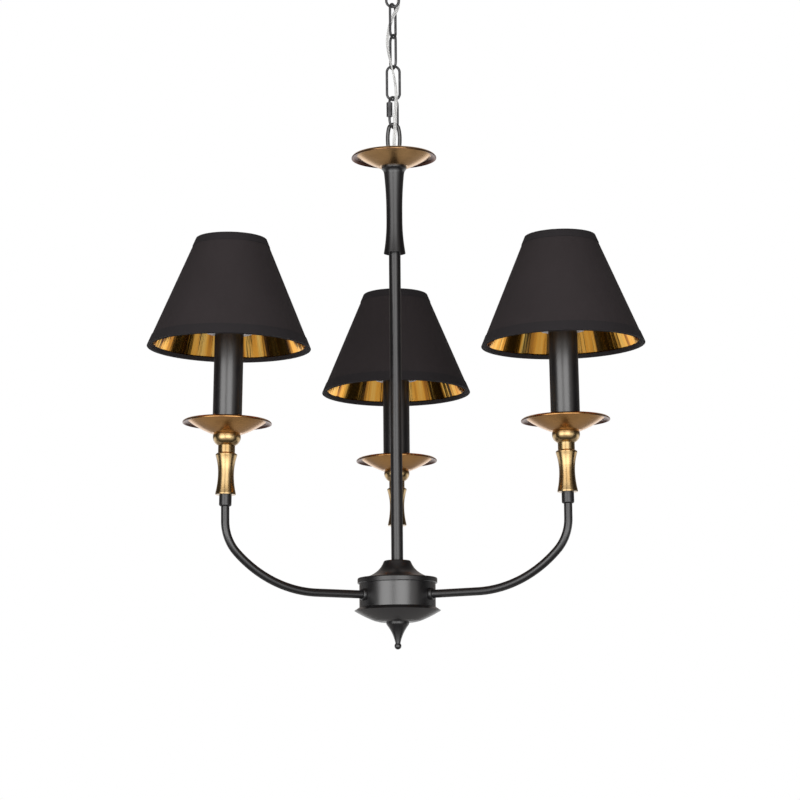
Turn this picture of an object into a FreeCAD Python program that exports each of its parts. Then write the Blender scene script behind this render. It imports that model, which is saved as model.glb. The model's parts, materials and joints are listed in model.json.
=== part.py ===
import FreeCAD, Part
import math
import operator
import os
from types import SimpleNamespace

import Sketcher

# Three-light chandelier, hanging from the ceiling by a chain.
# Millimetres, +Z up, origin on the ceiling above the middle of the lamp, -Y towards the viewer.

os.makedirs("parts", exist_ok=True)
doc = FreeCAD.newDocument("Chandelier")

# Driving dimensions: name, value and what it is
DRIVING = [
    ("bracket_length", 104.0, "ceiling bracket, end to end"),
    ("bracket_width", 18.0, "ceiling bracket, across"),
    ("bracket_thickness", 2.0, "ceiling bracket, flat bar"),
    ("slot_spacing", 76.0, "between the middles of the two screw slots"),
    ("slot_run", 12.0, "straight part of a screw slot"),
    ("slot_radius", 2.5, "half the width of a screw slot"),
    ("ground_screw_place", 19.0, "earth screw, out from the middle of the bracket"),
    ("ground_screw_radius", 2.0, "earth screw, shank"),
    ("ground_screw_head", 3.8, "earth screw, head radius"),
    ("ground_screw_head_height", 2.6, "earth screw, head height"),
    ("canopy_radius", 60.0, "ceiling canopy, outside"),
    ("canopy_height", 28.0, "ceiling canopy, ceiling to its flat middle"),
    ("canopy_skirt", 6.0, "ceiling canopy, straight part of the edge"),
    ("canopy_shoulder_radius", 62.0, "ceiling canopy, radius of the curved flank"),
    ("canopy_flat", 16.0, "ceiling canopy, radius of the flat middle"),
    ("canopy_wall", 1.2, "ceiling canopy, sheet"),
    ("canopy_nut_radius", 11.0, "ring nut under the canopy"),
    ("canopy_nut_height", 6.0, "ring nut under the canopy"),
    ("canopy_nut_round", 2.0, "rounded lower edge of the ring nut"),
    ("rod_radius", 5.0, "hollow threaded rod and nipple, outside"),
    ("rod_bore", 3.0, "hollow threaded rod and nipple, bore radius"),
    ("fit_gap", 0.2, "play round a rod, tube or screw in its hole"),
    ("seat_gap", 0.15, "play between sheets that lie against each other"),
    ("nut_corner", 8.1, "hexagon nut on the rods, radius over its corners"),
    ("nut_height", 5.0, "hexagon nut on the rods"),
    ("arm_nut_corner", 7.4, "hexagon nut on an arm, radius over its corners"),
    ("arm_nut_height", 4.0, "hexagon nut on an arm"),
    ("arm_wire", 1.6, "flex inside an arm, radius"),
    ("connector_tip", 2.6, "wire connector, narrow end"),
    ("connector_mouth", 4.2, "wire connector, open end"),
    ("connector_length", 14.0, "wire connector"),
    ("wire_end", 4.0, "conductors in the rod, lower end below the hub's middle"),
    ("loop_wire", 2.0, "hanging loop, wire radius"),
    ("loop_bend", 5.1, "hanging loop, bend radius at the far end, to the wire's middle"),
    ("loop_half_width", 6.25, "hanging loop, widest place, axis to the wire's middle"),
    ("loop_widest", 29.3, "hanging loop, height of the widest place"),
    ("loop_foot_spread", 4.2, "hanging loop, axis to the wire's middle at the foot"),
    ("loop_height", 46.3, "hanging loop, foot to the outside of the bend"),
    ("loop_base_radius", 8.2, "hanging loop, foot"),
    ("loop_base_height", 10.0, "hanging loop, foot"),
    ("loop_thread_depth", 7.0, "hanging loop, how deep the rod screws in"),
    ("loop_edge", 0.8, "hanging loop, chamfer of the foot"),
    ("link_wire", 1.3, "chain link, wire radius"),
    ("link_bend", 6.6, "chain link, bend radius of the wire's middle"),
    ("link_length", 38.8, "chain link, outside"),
    ("link_play", 0.25, "play where one link hangs in the next"),
    ("loop_play", 0.5, "play where the hanging loop hangs in the quick link"),
    ("quick_bend", 7.4, "quick link, bend radius of the wire's middle"),
    ("quick_length", 35.4, "quick link, outside"),
    ("quick_nut_corner", 3.1, "quick link's sleeve nut, radius over its corners"),
    ("quick_nut_length", 15.0, "quick link's sleeve nut"),
    ("quick_nut_rise", 1.6, "quick link's sleeve nut, its middle above the link's middle"),
    ("quick_gap", 8.0, "opening in the quick link that the sleeve nut closes"),
    ("cord_radius", 1.8, "twisted supply cord, over both strands"),
    ("wire_radius", 1.1, "single insulated conductor"),
    ("wire_offset", 1.3, "conductor, from the middle of the rod"),
    ("saucer_seat", 15.5, "brass saucer, radius of the flat middle"),
    ("saucer_bowl", 36.5, "brass saucer, radius where the bowl ends"),
    ("saucer_rise", 10.9, "brass saucer, end of the bowl above the seat"),
    ("saucer_bowl_curve", 100.0, "brass saucer, radius of the bowl's curve"),
    ("saucer_rim", 43.8, "brass saucer, outer edge"),
    ("saucer_drop", 1.0, "brass saucer, edge below the end of the bowl"),
    ("dish_drop", 2.0, "crown dish, edge below the end of the bowl"),
    ("saucer_curl", 5.2, "brass saucer, radius of the curled edge"),
    ("saucer_sheet", 1.0, "brass saucer, sheet"),
    ("stem_radius", 6.0, "stem tube, outside"),
    ("stem_length", 407.7, "stem tube, hub cover to crown dish"),
    ("sleeve_length", 91.0, "tapered sleeve round the top of the stem"),
    ("sleeve_top", 12.9, "sleeve, radius of the top lip"),
    ("sleeve_lip", 2.0, "sleeve, straight edge of the top lip"),
    ("sleeve_flare", 5.3, "sleeve, height of the flare under the lip"),
    ("sleeve_flare_curve", 8.0, "sleeve, radius of the flare's curve"),
    ("sleeve_shoulder", 10.3, "sleeve, radius under the flare"),
    ("sleeve_waist", 8.25, "sleeve, thinnest radius"),
    ("sleeve_waist_height", 34.0, "sleeve, waist above the bottom"),
    ("sleeve_waist_run", 10.0, "sleeve, straight part of the waist"),
    ("sleeve_bottom", 11.2, "sleeve, bottom radius"),
    ("hub_radius", 38.5, "hub body, outside"),
    ("hub_wall", 1.5, "hub body, sheet"),
    ("hub_top", 12.0, "hub body, top above the hub's middle"),
    ("hub_bottom", 14.0, "hub body, bottom below the hub's middle"),
    ("cover_radius", 40.3, "hub cover, rim"),
    ("cover_skirt", 5.6, "hub cover, height of the rim"),
    ("cover_rim_round", 1.4, "hub cover, rounded upper edge of the rim"),
    ("cover_lap", 2.0, "hub cover, how far the rim laps the body"),
    ("cover_shoulder", 23.0, "hub cover, radius where its two curves meet"),
    ("cover_shoulder_rise", 5.0, "hub cover, that place above the rim"),
    ("cover_upper_curve", 22.6, "hub cover, radius of the tight curve"),
    ("cover_neck", 13.9, "hub cover, neck radius"),
    ("cover_neck_rise", 16.2, "hub cover, neck above the rim"),
    ("cover_neck_round", 2.4, "hub cover, rounded top edge"),
    ("cover_collar", 11.8, "hub cover, flat top radius"),
    ("cover_collar_rise", 1.5, "hub cover, flat top above the neck"),
    ("cover_wall", 1.8, "hub cover, sheet"),
    ("cover_ledge", 5.5, "hub cover, width of the ledge on the hub body"),
    ("bowl_lip", 43.6, "hub bowl, sharp lip"),
    ("bowl_lip_drop", 3.4, "hub bowl, lip below its top"),
    ("bowl_depth", 14.8, "hub bowl, top to bottom"),
    ("bowl_foot", 18.0, "hub bowl, radius of the flat bottom"),
    ("bowl_edge", 23.2, "hub bowl, radius where the flank ends"),
    ("bowl_edge_rise", 1.2, "hub bowl, that place above the bottom"),
    ("bowl_curve", 120.0, "hub bowl, radius of the flank's curve"),
    ("bowl_wall", 1.5, "hub bowl, sheet"),
    ("finial_height", 27.6, "finial"),
    ("finial_disc", 11.5, "finial, top disc"),
    ("finial_disc_height", 2.0, "finial, top disc"),
    ("finial_flank", 11.1, "finial, radius under the disc"),
    ("finial_flank_drop", 0.8, "finial, chamfer under the disc"),
    ("finial_curve", 43.5, "finial, radius of the hollow flank"),
    ("finial_neck", 2.5, "finial, neck over the ball"),
    ("finial_ball", 3.5, "finial, ball"),
    ("finial_thread_depth", 6.0, "finial, how deep the rod screws in"),
    ("rod_window", 14.0, "rod, height of the wire window inside the hub"),
    ("rod_window_width", 4.0, "rod, width of the wire window"),
    ("rod_window_top", 4.0, "rod, top of the wire window above the hub's middle"),
    ("arm_radius", 4.1, "arm tube, outside"),
    ("arm_bore", 3.1, "arm tube, bore radius"),
    ("arm_drop", 2.4, "arm tube, middle below the hub's middle"),
    ("arm_start", 30.0, "arm tube, inner end from the lamp's axis"),
    ("arm_straight", 62.0, "arm tube, length of the level stretch"),
    ("arm_long_bend", 127.0, "arm tube, radius of the first bend"),
    ("arm_long_turn", 44.4, "arm tube, angle of the first bend"),
    ("arm_short_bend", 42.0, "arm tube, radius of the second bend"),
    ("arm_end_run", 14.6, "arm tube, length of the upright end"),
    ("ferrule_radius", 6.0, "flange where an arm enters the hub"),
    ("ferrule_height", 3.0, "flange where an arm enters the hub"),
    ("ferrule_round", 1.4, "rounded edge of that flange"),
    ("lean_left", 1.4, "left lamp leans in, degrees"),
    ("lean_right", 0.8, "right lamp leans in, degrees"),
    ("lean_back", -1.6, "back lamp leans out, degrees"),
    ("lean_gap", 0.15, "play at the top of an arm that lets the lamp lean"),
    ("collar_radius", 6.1, "collar on top of an arm"),
    ("collar_height", 11.3, "collar on top of an arm"),
    ("collar_round", 1.5, "collar, rounded lower edge"),
    ("collar_thread_depth", 6.0, "collar, how deep the rod screws in"),
    ("vase_height", 60.5, "brass vase"),
    ("vase_foot", 10.0, "vase, foot radius"),
    ("vase_foot_height", 1.5, "vase, foot"),
    ("vase_waist", 7.75, "vase, waist radius"),
    ("vase_waist_rise", 19.5, "vase, waist above the foot"),
    ("vase_lip", 10.5, "vase, lip radius"),
    ("vase_lip_rise", 17.7, "vase, lip above the waist"),
    ("vase_lip_height", 1.2, "vase, thickness of the lip"),
    ("vase_neck", 8.3, "vase, neck radius"),
    ("vase_neck_step", 1.6, "vase, slope from the lip to the neck"),
    ("vase_neck_height", 7.1, "vase, neck"),
    ("vase_bead", 13.7, "vase, bead radius"),
    ("vase_bead_rise", 8.4, "vase, widest place of the bead above the neck"),
    ("vase_top", 12.9, "vase, top radius"),
    ("rod_length", 116.0, "rod inside a lamp, collar to lampholder"),
    ("candle_radius", 14.4, "candle sleeve, outside"),
    ("candle_wall", 1.0, "candle sleeve, wall"),
    ("candle_height", 99.8, "candle sleeve"),
    ("holder_radius", 12.6, "lampholder, barrel"),
    ("holder_cup", 8.5, "lampholder, cap at the bottom"),
    ("holder_cup_height", 12.0, "lampholder, cap at the bottom"),
    ("holder_slope", 3.0, "lampholder, cone between cap and barrel"),
    ("holder_above", 10.0, "lampholder, threaded barrel above the shade's washer"),
    ("holder_thread_depth", 6.0, "lampholder, how deep the rod screws in"),
    ("screw_radius", 7.0, "E14 screw shell, radius"),
    ("screw_depth", 24.0, "E14 screw shell, depth"),
    ("shade_ring_radius", 17.0, "screw ring that holds the shade down"),
    ("shade_ring_height", 5.0, "screw ring that holds the shade down"),
    ("shade_ring_round", 1.2, "screw ring, rounded top edge"),
    ("washer_radius", 23.25, "shade's perforated washer"),
    ("washer_thickness", 1.0, "shade's perforated washer"),
    ("washer_hole", 2.4, "one perforation, radius"),
    ("washer_hole_circle", 18.3, "radius of the circle of perforations"),
    ("washer_rise", 15.0, "washer above the shade's lower edge"),
    ("frame_wire", 1.0, "shade frame, wire radius"),
    ("frame_spoke", 0.9, "shade frame, spoke wire radius"),
    ("frame_foot", 21.6, "shade frame, where a wire stands on the washer"),
    ("shade_radius", 81.0, "shade, lower edge"),
    ("shade_top_radius", 35.2, "shade, upper edge"),
    ("shade_height", 109.6, "shade"),
    ("cover_fabric", 0.8, "shade, card and fabric"),
    ("lining_foil", 0.4, "shade, gold foil lining"),
    ("trim_tape", 0.3, "shade, trim tape"),
    ("trim_bottom", 10.0, "shade, lower trim outside"),
    ("trim_fold", 5.0, "shade, lower trim folded inside"),
    ("trim_top", 8.0, "shade, upper trim outside"),
]
LAMP_AZIMUTHS = {"left": 210.0, "right": 330.0, "back": 90.0}
LINK_AZIMUTHS = {"chain_link_1": 0.0, "chain_link_2": 65.0, "chain_link_3": 115.0, "chain_link_4": 180.0}
CANOPY_LOOP_AZIMUTH = 90.0
QUICK_LINK_AZIMUTH = 56.0
FULL_TURN = 360.0
QUARTER_TURN = 90.0
LAMP_COUNT = 3
PERFORATIONS = 8
FRAME_WIRES = 3

OPERATIONS = {"+": operator.add, "-": operator.sub, "*": operator.mul, "/": operator.truediv}


class Size:
    """A number together with the sheet formula that gives it."""

    def __init__(self, value, formula):
        self.value = float(value)
        self.formula = formula

    def __float__(self):
        return self.value

    def __neg__(self):
        return joined(0.0, "-", self)

    def __add__(self, other):
        return joined(self, "+", other)

    def __radd__(self, other):
        return joined(other, "+", self)

    def __sub__(self, other):
        return joined(self, "-", other)

    def __rsub__(self, other):
        return joined(other, "-", self)

    def __mul__(self, other):
        return joined(self, "*", other)

    def __rmul__(self, other):
        return joined(other, "*", self)

    def __truediv__(self, other):
        return joined(self, "/", other)


def as_size(value):
    """A plain number as a Size."""
    return value if isinstance(value, Size) else Size(value, repr(float(value)))


def joined(left, sign, right):
    """Two sizes joined by a sign, as a number and as a formula."""
    left = as_size(left)
    right = as_size(right)
    return Size(OPERATIONS[sign](left.value, right.value), f"({left.formula} {sign} {right.formula})")


def sine(angle):
    """Sine of a size in degrees."""
    return Size(math.sin(math.radians(float(angle))), f"sin({angle.formula})")


def cosine(angle):
    """Cosine of a size in degrees."""
    return Size(math.cos(math.radians(float(angle))), f"cos({angle.formula})")


def arcsine(size):
    """Angle in degrees that has this sine."""
    return Size(math.degrees(math.asin(float(size))), f"asin({size.formula})")


def arccosine(size):
    """Angle in degrees that has this cosine."""
    return Size(math.degrees(math.acos(float(size))), f"acos({size.formula})")


def root(size):
    """Square root of a size."""
    return Size(math.sqrt(float(size)), f"sqrt({size.formula})")


def tangent_curve(run, step):
    """Radius of the arc that leaves a straight edge smoothly and ends run along it and step away."""
    return (run * run + step * step) / (2 * step)


def size_sheet():
    """The sheet of driving dimensions, and the same sizes by name."""
    sheet = doc.addObject("Spreadsheet::Sheet", "Sizes")
    sizes = {}
    for row, (name, value, note) in enumerate(DRIVING, start=1):
        sheet.set(f"A{row}", name)
        sheet.set(f"B{row}", str(value))
        sheet.setAlias(f"B{row}", name)
        sheet.set(f"C{row}", note)
        sizes[name] = Size(value, "Sizes." + name)
    doc.recompute()
    return SimpleNamespace(**sizes)


s = size_sheet()

# Heights down from the ceiling, each from the piece above it
loop_foot_z = -(s.canopy_height + s.canopy_nut_height)
canopy_bend_z = loop_foot_z - s.loop_height + s.loop_wire
link_middle_length = s.link_length - 2 * s.link_wire
quick_middle_length = s.quick_length - 2 * s.link_wire
link_tops = [canopy_bend_z + s.loop_wire + s.link_wire + s.link_play]
for _ in LINK_AZIMUTHS:
    link_tops.append(link_tops[-1] - link_middle_length + 2 * s.link_wire + s.link_play)
quick_top_z = link_tops.pop()
quick_bottom_z = quick_top_z - quick_middle_length
hang_bend_z = quick_bottom_z + s.link_wire + s.loop_wire + s.loop_play
dish_floor_z = hang_bend_z + s.loop_wire - s.loop_height
dish_z = dish_floor_z - s.saucer_sheet
sleeve_z = dish_z - s.sleeve_length
stem_z = dish_z - s.stem_length
cover_height = s.cover_skirt + s.cover_neck_rise + s.cover_collar_rise
cover_z = stem_z - cover_height
hub_z = cover_z + s.cover_lap - s.hub_top
hub_floor_z = hub_z - s.hub_bottom
arm_z = hub_z - s.arm_drop
bowl_z = hub_floor_z - s.bowl_depth
finial_z = bowl_z - s.finial_height
rod_low_z = bowl_z - s.finial_thread_depth + s.fit_gap
rod_high_z = dish_floor_z + s.loop_thread_depth - s.fit_gap

# Arm and lamp: places in the arm's own plane
arm_long_x = s.arm_straight + s.arm_long_bend * sine(s.arm_long_turn)
arm_long_rise = s.arm_long_bend - s.arm_long_bend * cosine(s.arm_long_turn)
arm_reach = arm_long_x + s.arm_short_bend - s.arm_short_bend * sine(s.arm_long_turn)
arm_short_rise = arm_long_rise + s.arm_short_bend * cosine(s.arm_long_turn)
arm_height = arm_short_rise + s.arm_end_run

# Heights in a lamp above the top of its arm
vase_rise = s.collar_height
saucer_rise = vase_rise + s.vase_height
candle_rise = saucer_rise + s.saucer_sheet
washer_rise = candle_rise + s.candle_height
shade_rise = washer_rise - s.washer_rise
rod_rise = s.collar_height - s.collar_thread_depth
holder_rise = rod_rise + s.rod_length - s.holder_thread_depth
holder_height = washer_rise + s.washer_thickness + s.holder_above - holder_rise


def new_body(label):
    """An empty body that becomes one sub-part."""
    body = doc.addObject("PartDesign::Body", label)
    body.Label = label
    return body


def origin_feature(body, role):
    """One of a body's own origin planes or axes."""
    return [feature for feature in body.Origin.OriginFeatures if feature.Role == role][0]


def plane_sketch(body, role, name):
    """A sketch on one of the body's own origin planes."""
    sketch = body.newObject("Sketcher::SketchObject", body.Name + "_" + name)
    sketch.AttachmentSupport = [(origin_feature(body, role), "")]
    sketch.MapMode = "FlatFace"
    return sketch


def arc_between(first, last, radius):
    """Arc of a radius from first to last; a positive radius turns left, a negative one right."""
    chord = last - first
    half = chord.Length / 2
    normal = FreeCAD.Vector(-chord.y, chord.x, 0).normalize()
    side = math.copysign(1.0, radius)
    sagitta = abs(radius) - math.sqrt(radius * radius - half * half)
    middle = first + chord * 0.5 - normal * (side * sagitta)
    if side > 0:
        return Part.Arc(first, middle, last), (1, 2)
    return Part.Arc(last, middle, first), (2, 1)


def bind(sketch, constraint, size):
    """Adds a constraint and ties it to the sheet."""
    index = sketch.addConstraint(constraint)
    if isinstance(size, Size):
        sketch.setExpression(f"Constraints[{index}]", size.formula)


def fix_point(sketch, edge, position, across, up):
    """Holds one end of an edge at its sizes from the sketch's origin."""
    vertical_axis = -2
    horizontal_axis = -1
    if float(across) == 0.0:
        sketch.addConstraint(Sketcher.Constraint("PointOnObject", edge, position, vertical_axis))
    else:
        bind(sketch, Sketcher.Constraint("DistanceX", -1, 1, edge, position, float(across)), across)
    if float(up) == 0.0:
        sketch.addConstraint(Sketcher.Constraint("PointOnObject", edge, position, horizontal_axis))
    else:
        bind(sketch, Sketcher.Constraint("DistanceY", -1, 1, edge, position, float(up)), up)


def draw(sketch, corners, closed=True):
    """Lines and arcs through corners; a third value in a corner is the radius of the arc to it."""
    count = len(corners) if closed else len(corners) - 1
    ends = []
    for index in range(count):
        begin = corners[index]
        end = corners[(index + 1) % len(corners)]
        first = FreeCAD.Vector(float(begin[0]), float(begin[1]), 0)
        last = FreeCAD.Vector(float(end[0]), float(end[1]), 0)
        if len(end) == 3:
            edge, order = arc_between(first, last, float(end[2]))
        else:
            edge, order = Part.LineSegment(first, last), (1, 2)
        sketch.addGeometry(edge, False)
        ends.append(order)
    for index in range(count):
        begin = corners[index]
        end = corners[(index + 1) % len(corners)]
        fix_point(sketch, index, ends[index][0], begin[0], begin[1])
        if closed or index + 1 < count:
            following = (index + 1) % count
            join = Sketcher.Constraint("Coincident", index, ends[index][1], following, ends[following][0])
            sketch.addConstraint(join)
        else:
            fix_point(sketch, index, ends[index][1], end[0], end[1])
        if len(end) == 3:
            radius = as_size(end[2])
            if radius.value < 0:
                radius = -radius
            bind(sketch, Sketcher.Constraint("Radius", index, radius.value), radius)


def circle(sketch, radius, across=0.0, up=0.0):
    """A circle tied to the sheet."""
    centre = FreeCAD.Vector(float(across), float(up), 0)
    edge = sketch.addGeometry(Part.Circle(centre, FreeCAD.Vector(0, 0, 1), float(radius)), False)
    middle_point = 3
    fix_point(sketch, edge, middle_point, across, up)
    bind(sketch, Sketcher.Constraint("Radius", edge, float(radius)), radius)


def turned(label, corners, height=None):
    """A piece made on the lathe: its half section, turned about its own axis."""
    body = new_body(label)
    sketch = plane_sketch(body, "XZ_Plane", "section")
    draw(sketch, corners)
    revolution = body.newObject("PartDesign::Revolution", label + "_turned")
    revolution.Profile = sketch
    revolution.ReferenceAxis = (sketch, ["V_Axis"])
    revolution.Angle = FULL_TURN
    body.Tip = revolution
    if height is not None:
        body.setExpression("Placement.Base.z", height.formula)
    return body


def cut_volume(body, before, what):
    """Stops the build if a cut has removed nothing."""
    doc.recompute()
    if body.Shape.Volume >= before - 1e-6:
        raise RuntimeError(f"{what} cuts nothing")


def drilled(body, plane, name, radius, up):
    """A round hole from a plane outwards, along the plane's normal."""
    doc.recompute()
    before = body.Shape.Volume
    sketch = plane_sketch(body, plane, name)
    circle(sketch, radius, 0.0, up)
    pocket = body.newObject("PartDesign::Pocket", body.Name + "_" + name + "_cut")
    pocket.Profile = sketch
    pocket.Type = "ThroughAll"
    pocket.Reversed = True
    body.Tip = pocket
    cut_volume(body, before, name)
    return pocket


def repeated(body, feature, occurrences):
    """A feature repeated round the body's own vertical axis."""
    pattern = body.newObject("PartDesign::PolarPattern", body.Name + "_pattern")
    pattern.Originals = [feature]
    pattern.Axis = (origin_feature(body, "Z_Axis"), [""])
    pattern.Angle = FULL_TURN
    pattern.Occurrences = occurrences
    body.Tip = pattern
    return pattern


def primitive(kind, name, sizes, placement=FreeCAD.Placement()):
    """A Part primitive with its sizes tied to the sheet."""
    piece = doc.addObject(kind, name)
    for property_name, size in sizes.items():
        if isinstance(size, Size):
            piece.setExpression(property_name, size.formula)
        else:
            setattr(piece, property_name, size)
    piece.Placement = placement
    return piece


def joined_pieces(kind, label, pieces):
    """One boolean or compound of several pieces."""
    result = doc.addObject(kind, label)
    result.Label = label
    if kind == "Part::Compound":
        result.Links = pieces
    else:
        result.Shapes = pieces
    return result


def cut_from(label, base, tool):
    """A piece with another cut out of it."""
    result = doc.addObject("Part::Cut", label)
    result.Label = label
    result.Base = base
    result.Tool = tool
    return result


def place(x=0.0, y=0.0, z=0.0, axis=(0, 0, 1), angle=0.0):
    """A placement from plain numbers or sizes."""
    return FreeCAD.Placement(
        FreeCAD.Vector(float(x), float(y), float(z)),
        FreeCAD.Rotation(FreeCAD.Vector(*axis), float(angle)),
    )


def arm_place(side):
    """The inner end of one arm, its X axis outwards along the arm."""
    return place(z=arm_z, angle=LAMP_AZIMUTHS[side]) * place(x=s.arm_start)


def lamp_place(side):
    """The top of one arm, tilted by that lamp's lean, its Z axis up the lamp."""
    lean = {"left": s.lean_left, "right": s.lean_right, "back": s.lean_back}[side]
    top = place(x=arm_reach, z=arm_height + s.lean_gap)
    return arm_place(side) * top * place(axis=(0, 1, 0), angle=-lean)


# Ceiling fitting
def ceiling_bracket():
    """Flat bar with two screw slots, a middle hole and the earth screw's hole."""
    bar = primitive(
        "Part::Box",
        "bracket_bar",
        {"Length": s.bracket_length, "Width": s.bracket_width, "Height": s.bracket_thickness},
        place(-s.bracket_length / 2, -s.bracket_width / 2, -s.bracket_thickness),
    )
    depth = 4 * s.bracket_thickness
    under = -2 * s.bracket_thickness
    rod_hole = primitive(
        "Part::Cylinder",
        "bracket_rod_hole",
        {"Radius": s.rod_radius + s.fit_gap, "Height": depth},
        place(z=under),
    )
    screw_hole = primitive(
        "Part::Cylinder",
        "bracket_screw_hole",
        {"Radius": s.ground_screw_radius + s.fit_gap, "Height": depth},
        place(x=s.ground_screw_place, z=under),
    )
    tools = [rod_hole, screw_hole]
    for side in (-1, 1):
        middle = side * s.slot_spacing / 2
        tools.append(
            primitive(
                "Part::Box",
                "slot_middle",
                {"Length": s.slot_run, "Width": 2 * s.slot_radius, "Height": depth},
                place(middle - s.slot_run / 2, -s.slot_radius, under),
            )
        )
        for end in (-1, 1):
            tools.append(
                primitive(
                    "Part::Cylinder",
                    "slot_end",
                    {"Radius": s.slot_radius, "Height": depth},
                    place(x=middle + end * s.slot_run / 2, z=under),
                )
            )
    return cut_from("ceiling_bracket", bar, joined_pieces("Part::MultiFuse", "bracket_holes", tools))


def ground_screw():
    """Earth screw, driven up into the bracket from below."""
    head = s.ground_screw_head_height
    corners = [
        (0.0, 0.0),
        (s.ground_screw_head, 0.0),
        (s.ground_screw_head, head),
        (s.ground_screw_radius, head),
        (s.ground_screw_radius, head + s.bracket_thickness),
        (0.0, head + s.bracket_thickness),
    ]
    screw = turned("ground_screw", corners, -(head + s.bracket_thickness))
    screw.setExpression("Placement.Base.x", s.ground_screw_place.formula)
    return screw


def canopy():
    """Spun steel bowl that closes the ceiling box, open upwards."""
    wall = s.canopy_wall
    flank_top = s.canopy_height - s.canopy_skirt
    inner_curve = s.canopy_shoulder_radius - wall
    corners = [
        (s.rod_radius + s.fit_gap, 0.0),
        (s.canopy_flat, 0.0),
        (s.canopy_radius, flank_top, s.canopy_shoulder_radius),
        (s.canopy_radius, s.canopy_height),
        (s.canopy_radius - wall, s.canopy_height),
        (s.canopy_radius - wall, flank_top),
        (s.canopy_flat, wall, -inner_curve),
        (s.rod_radius + s.fit_gap, wall),
    ]
    return turned("canopy", corners, -s.canopy_height)


def ring(label, inner, outer, height, z):
    """A plain ring or tube."""
    corners = [(inner, 0.0), (outer, 0.0), (outer, height), (inner, height)]
    return turned(label, corners, z)


def canopy_nut():
    """Ring nut that holds the canopy up, with a rounded lower edge."""
    inner = s.rod_radius + s.fit_gap
    corners = [
        (inner, 0.0),
        (s.canopy_nut_radius - s.canopy_nut_round, 0.0),
        (s.canopy_nut_radius, s.canopy_nut_round, s.canopy_nut_round),
        (s.canopy_nut_radius, s.canopy_nut_height),
        (inner, s.canopy_nut_height),
    ]
    return turned("canopy_nut", corners, loop_foot_z)


def hex_nut(name, corner, bore, height, placement):
    """A hexagon nut standing on its placement."""
    block = primitive(
        "Part::Prism", name + "_block", {"Polygon": 6, "Circumradius": corner, "Height": height}
    )
    hole = primitive("Part::Cylinder", name + "_bore", {"Radius": bore, "Height": height})
    nut = cut_from(name, block, hole)
    nut.Placement = placement
    return nut


def hanging_loop(label, placement):
    """Bent wire loop on a turned foot, with the thread below and the cord's hole through it."""
    foot = turned(
        label + "_foot",
        [
            (s.cord_radius + s.fit_gap, s.loop_thread_depth),
            (s.rod_radius + s.fit_gap, s.loop_thread_depth),
            (s.rod_radius + s.fit_gap, 0.0),
            (s.loop_base_radius, 0.0),
            (s.loop_base_radius, s.loop_base_height - s.loop_edge),
            (s.loop_base_radius - s.loop_edge, s.loop_base_height),
            (s.cord_radius + s.fit_gap, s.loop_base_height),
        ],
    )
    bend_height = s.loop_height - s.loop_wire - s.loop_bend
    upper_run = bend_height - s.loop_widest
    lower_run = s.loop_widest - s.loop_base_height
    widening = s.loop_half_width - s.loop_bend
    squares = s.loop_half_width * s.loop_half_width - s.loop_bend * s.loop_bend
    upper_bow = (squares + upper_run * upper_run) / (2 * widening)
    lower_bow = tangent_curve(lower_run, s.loop_half_width - s.loop_foot_spread)
    turning = upper_run / (upper_bow - s.loop_bend)
    side_span = arcsine(turning)
    bend_span = arccosine(turning)
    leg_span = arcsine((lower_run + s.loop_edge) / lower_bow)
    pieces = [foot]
    for half in (0, 1):
        turn = place(angle=half * FULL_TURN / 2)
        bend_middle = turn * place(z=bend_height)
        side_middle = turn * place(x=s.loop_half_width - upper_bow, z=s.loop_widest)
        leg_middle = turn * place(x=s.loop_half_width - lower_bow, z=s.loop_widest)
        pieces += [
            wire_arc(label + "_bend", s.loop_bend, s.loop_wire, bend_middle, side_span, bend_span),
            wire_arc(label + "_side", upper_bow, s.loop_wire, side_middle, 0.0, side_span),
            wire_arc(label + "_leg", lower_bow, s.loop_wire, leg_middle, -leg_span, leg_span),
        ]
    loop = joined_pieces("Part::MultiFuse", label, pieces)
    loop.Placement = placement
    return loop


def wire_arc(name, bend, wire, middle, first, span):
    """An arc of wire standing in the XZ plane, from an angle above the X axis on towards the Z axis."""
    upright = place(axis=(1, 0, 0), angle=QUARTER_TURN)
    return primitive(
        "Part::Torus",
        name,
        {"Radius1": bend, "Radius2": wire, "Angle3": span},
        middle * upright * place(angle=first),
    )


# Chain
def link(label, bend, middle_length, gap=None, gap_rise=None):
    """A wire link round its own middle: two straight legs and two bends, or one leg left open."""
    reach = middle_length / 2 - bend
    pieces = [
        wire_arc(label + "_top", bend, s.link_wire, place(z=reach), 0.0, FULL_TURN / 2),
        wire_arc(label + "_bottom", bend, s.link_wire, place(z=-reach), FULL_TURN / 2, FULL_TURN / 2),
        primitive(
            "Part::Cylinder",
            label + "_leg",
            {"Radius": s.link_wire, "Height": 2 * reach},
            place(x=bend, z=-reach),
        ),
    ]
    stretches = [(-reach, reach)]
    if gap is not None:
        stretches = [(-reach, gap_rise - gap / 2), (gap_rise + gap / 2, reach)]
    for low, high in stretches:
        stretch = primitive(
            "Part::Cylinder",
            label + "_stretch",
            {"Radius": s.link_wire, "Height": high - low},
            place(x=-bend, z=low),
        )
        pieces.append(stretch)
    return joined_pieces("Part::MultiFuse", label, pieces)


def chain():
    """Four welded links, each turned from the one above as the chain hangs."""
    links = []
    for (label, azimuth), top in zip(LINK_AZIMUTHS.items(), link_tops):
        piece = link(label, s.link_bend, link_middle_length)
        piece.Placement = place(z=top - link_middle_length / 2, angle=azimuth)
        links.append(piece)
    return links


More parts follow.
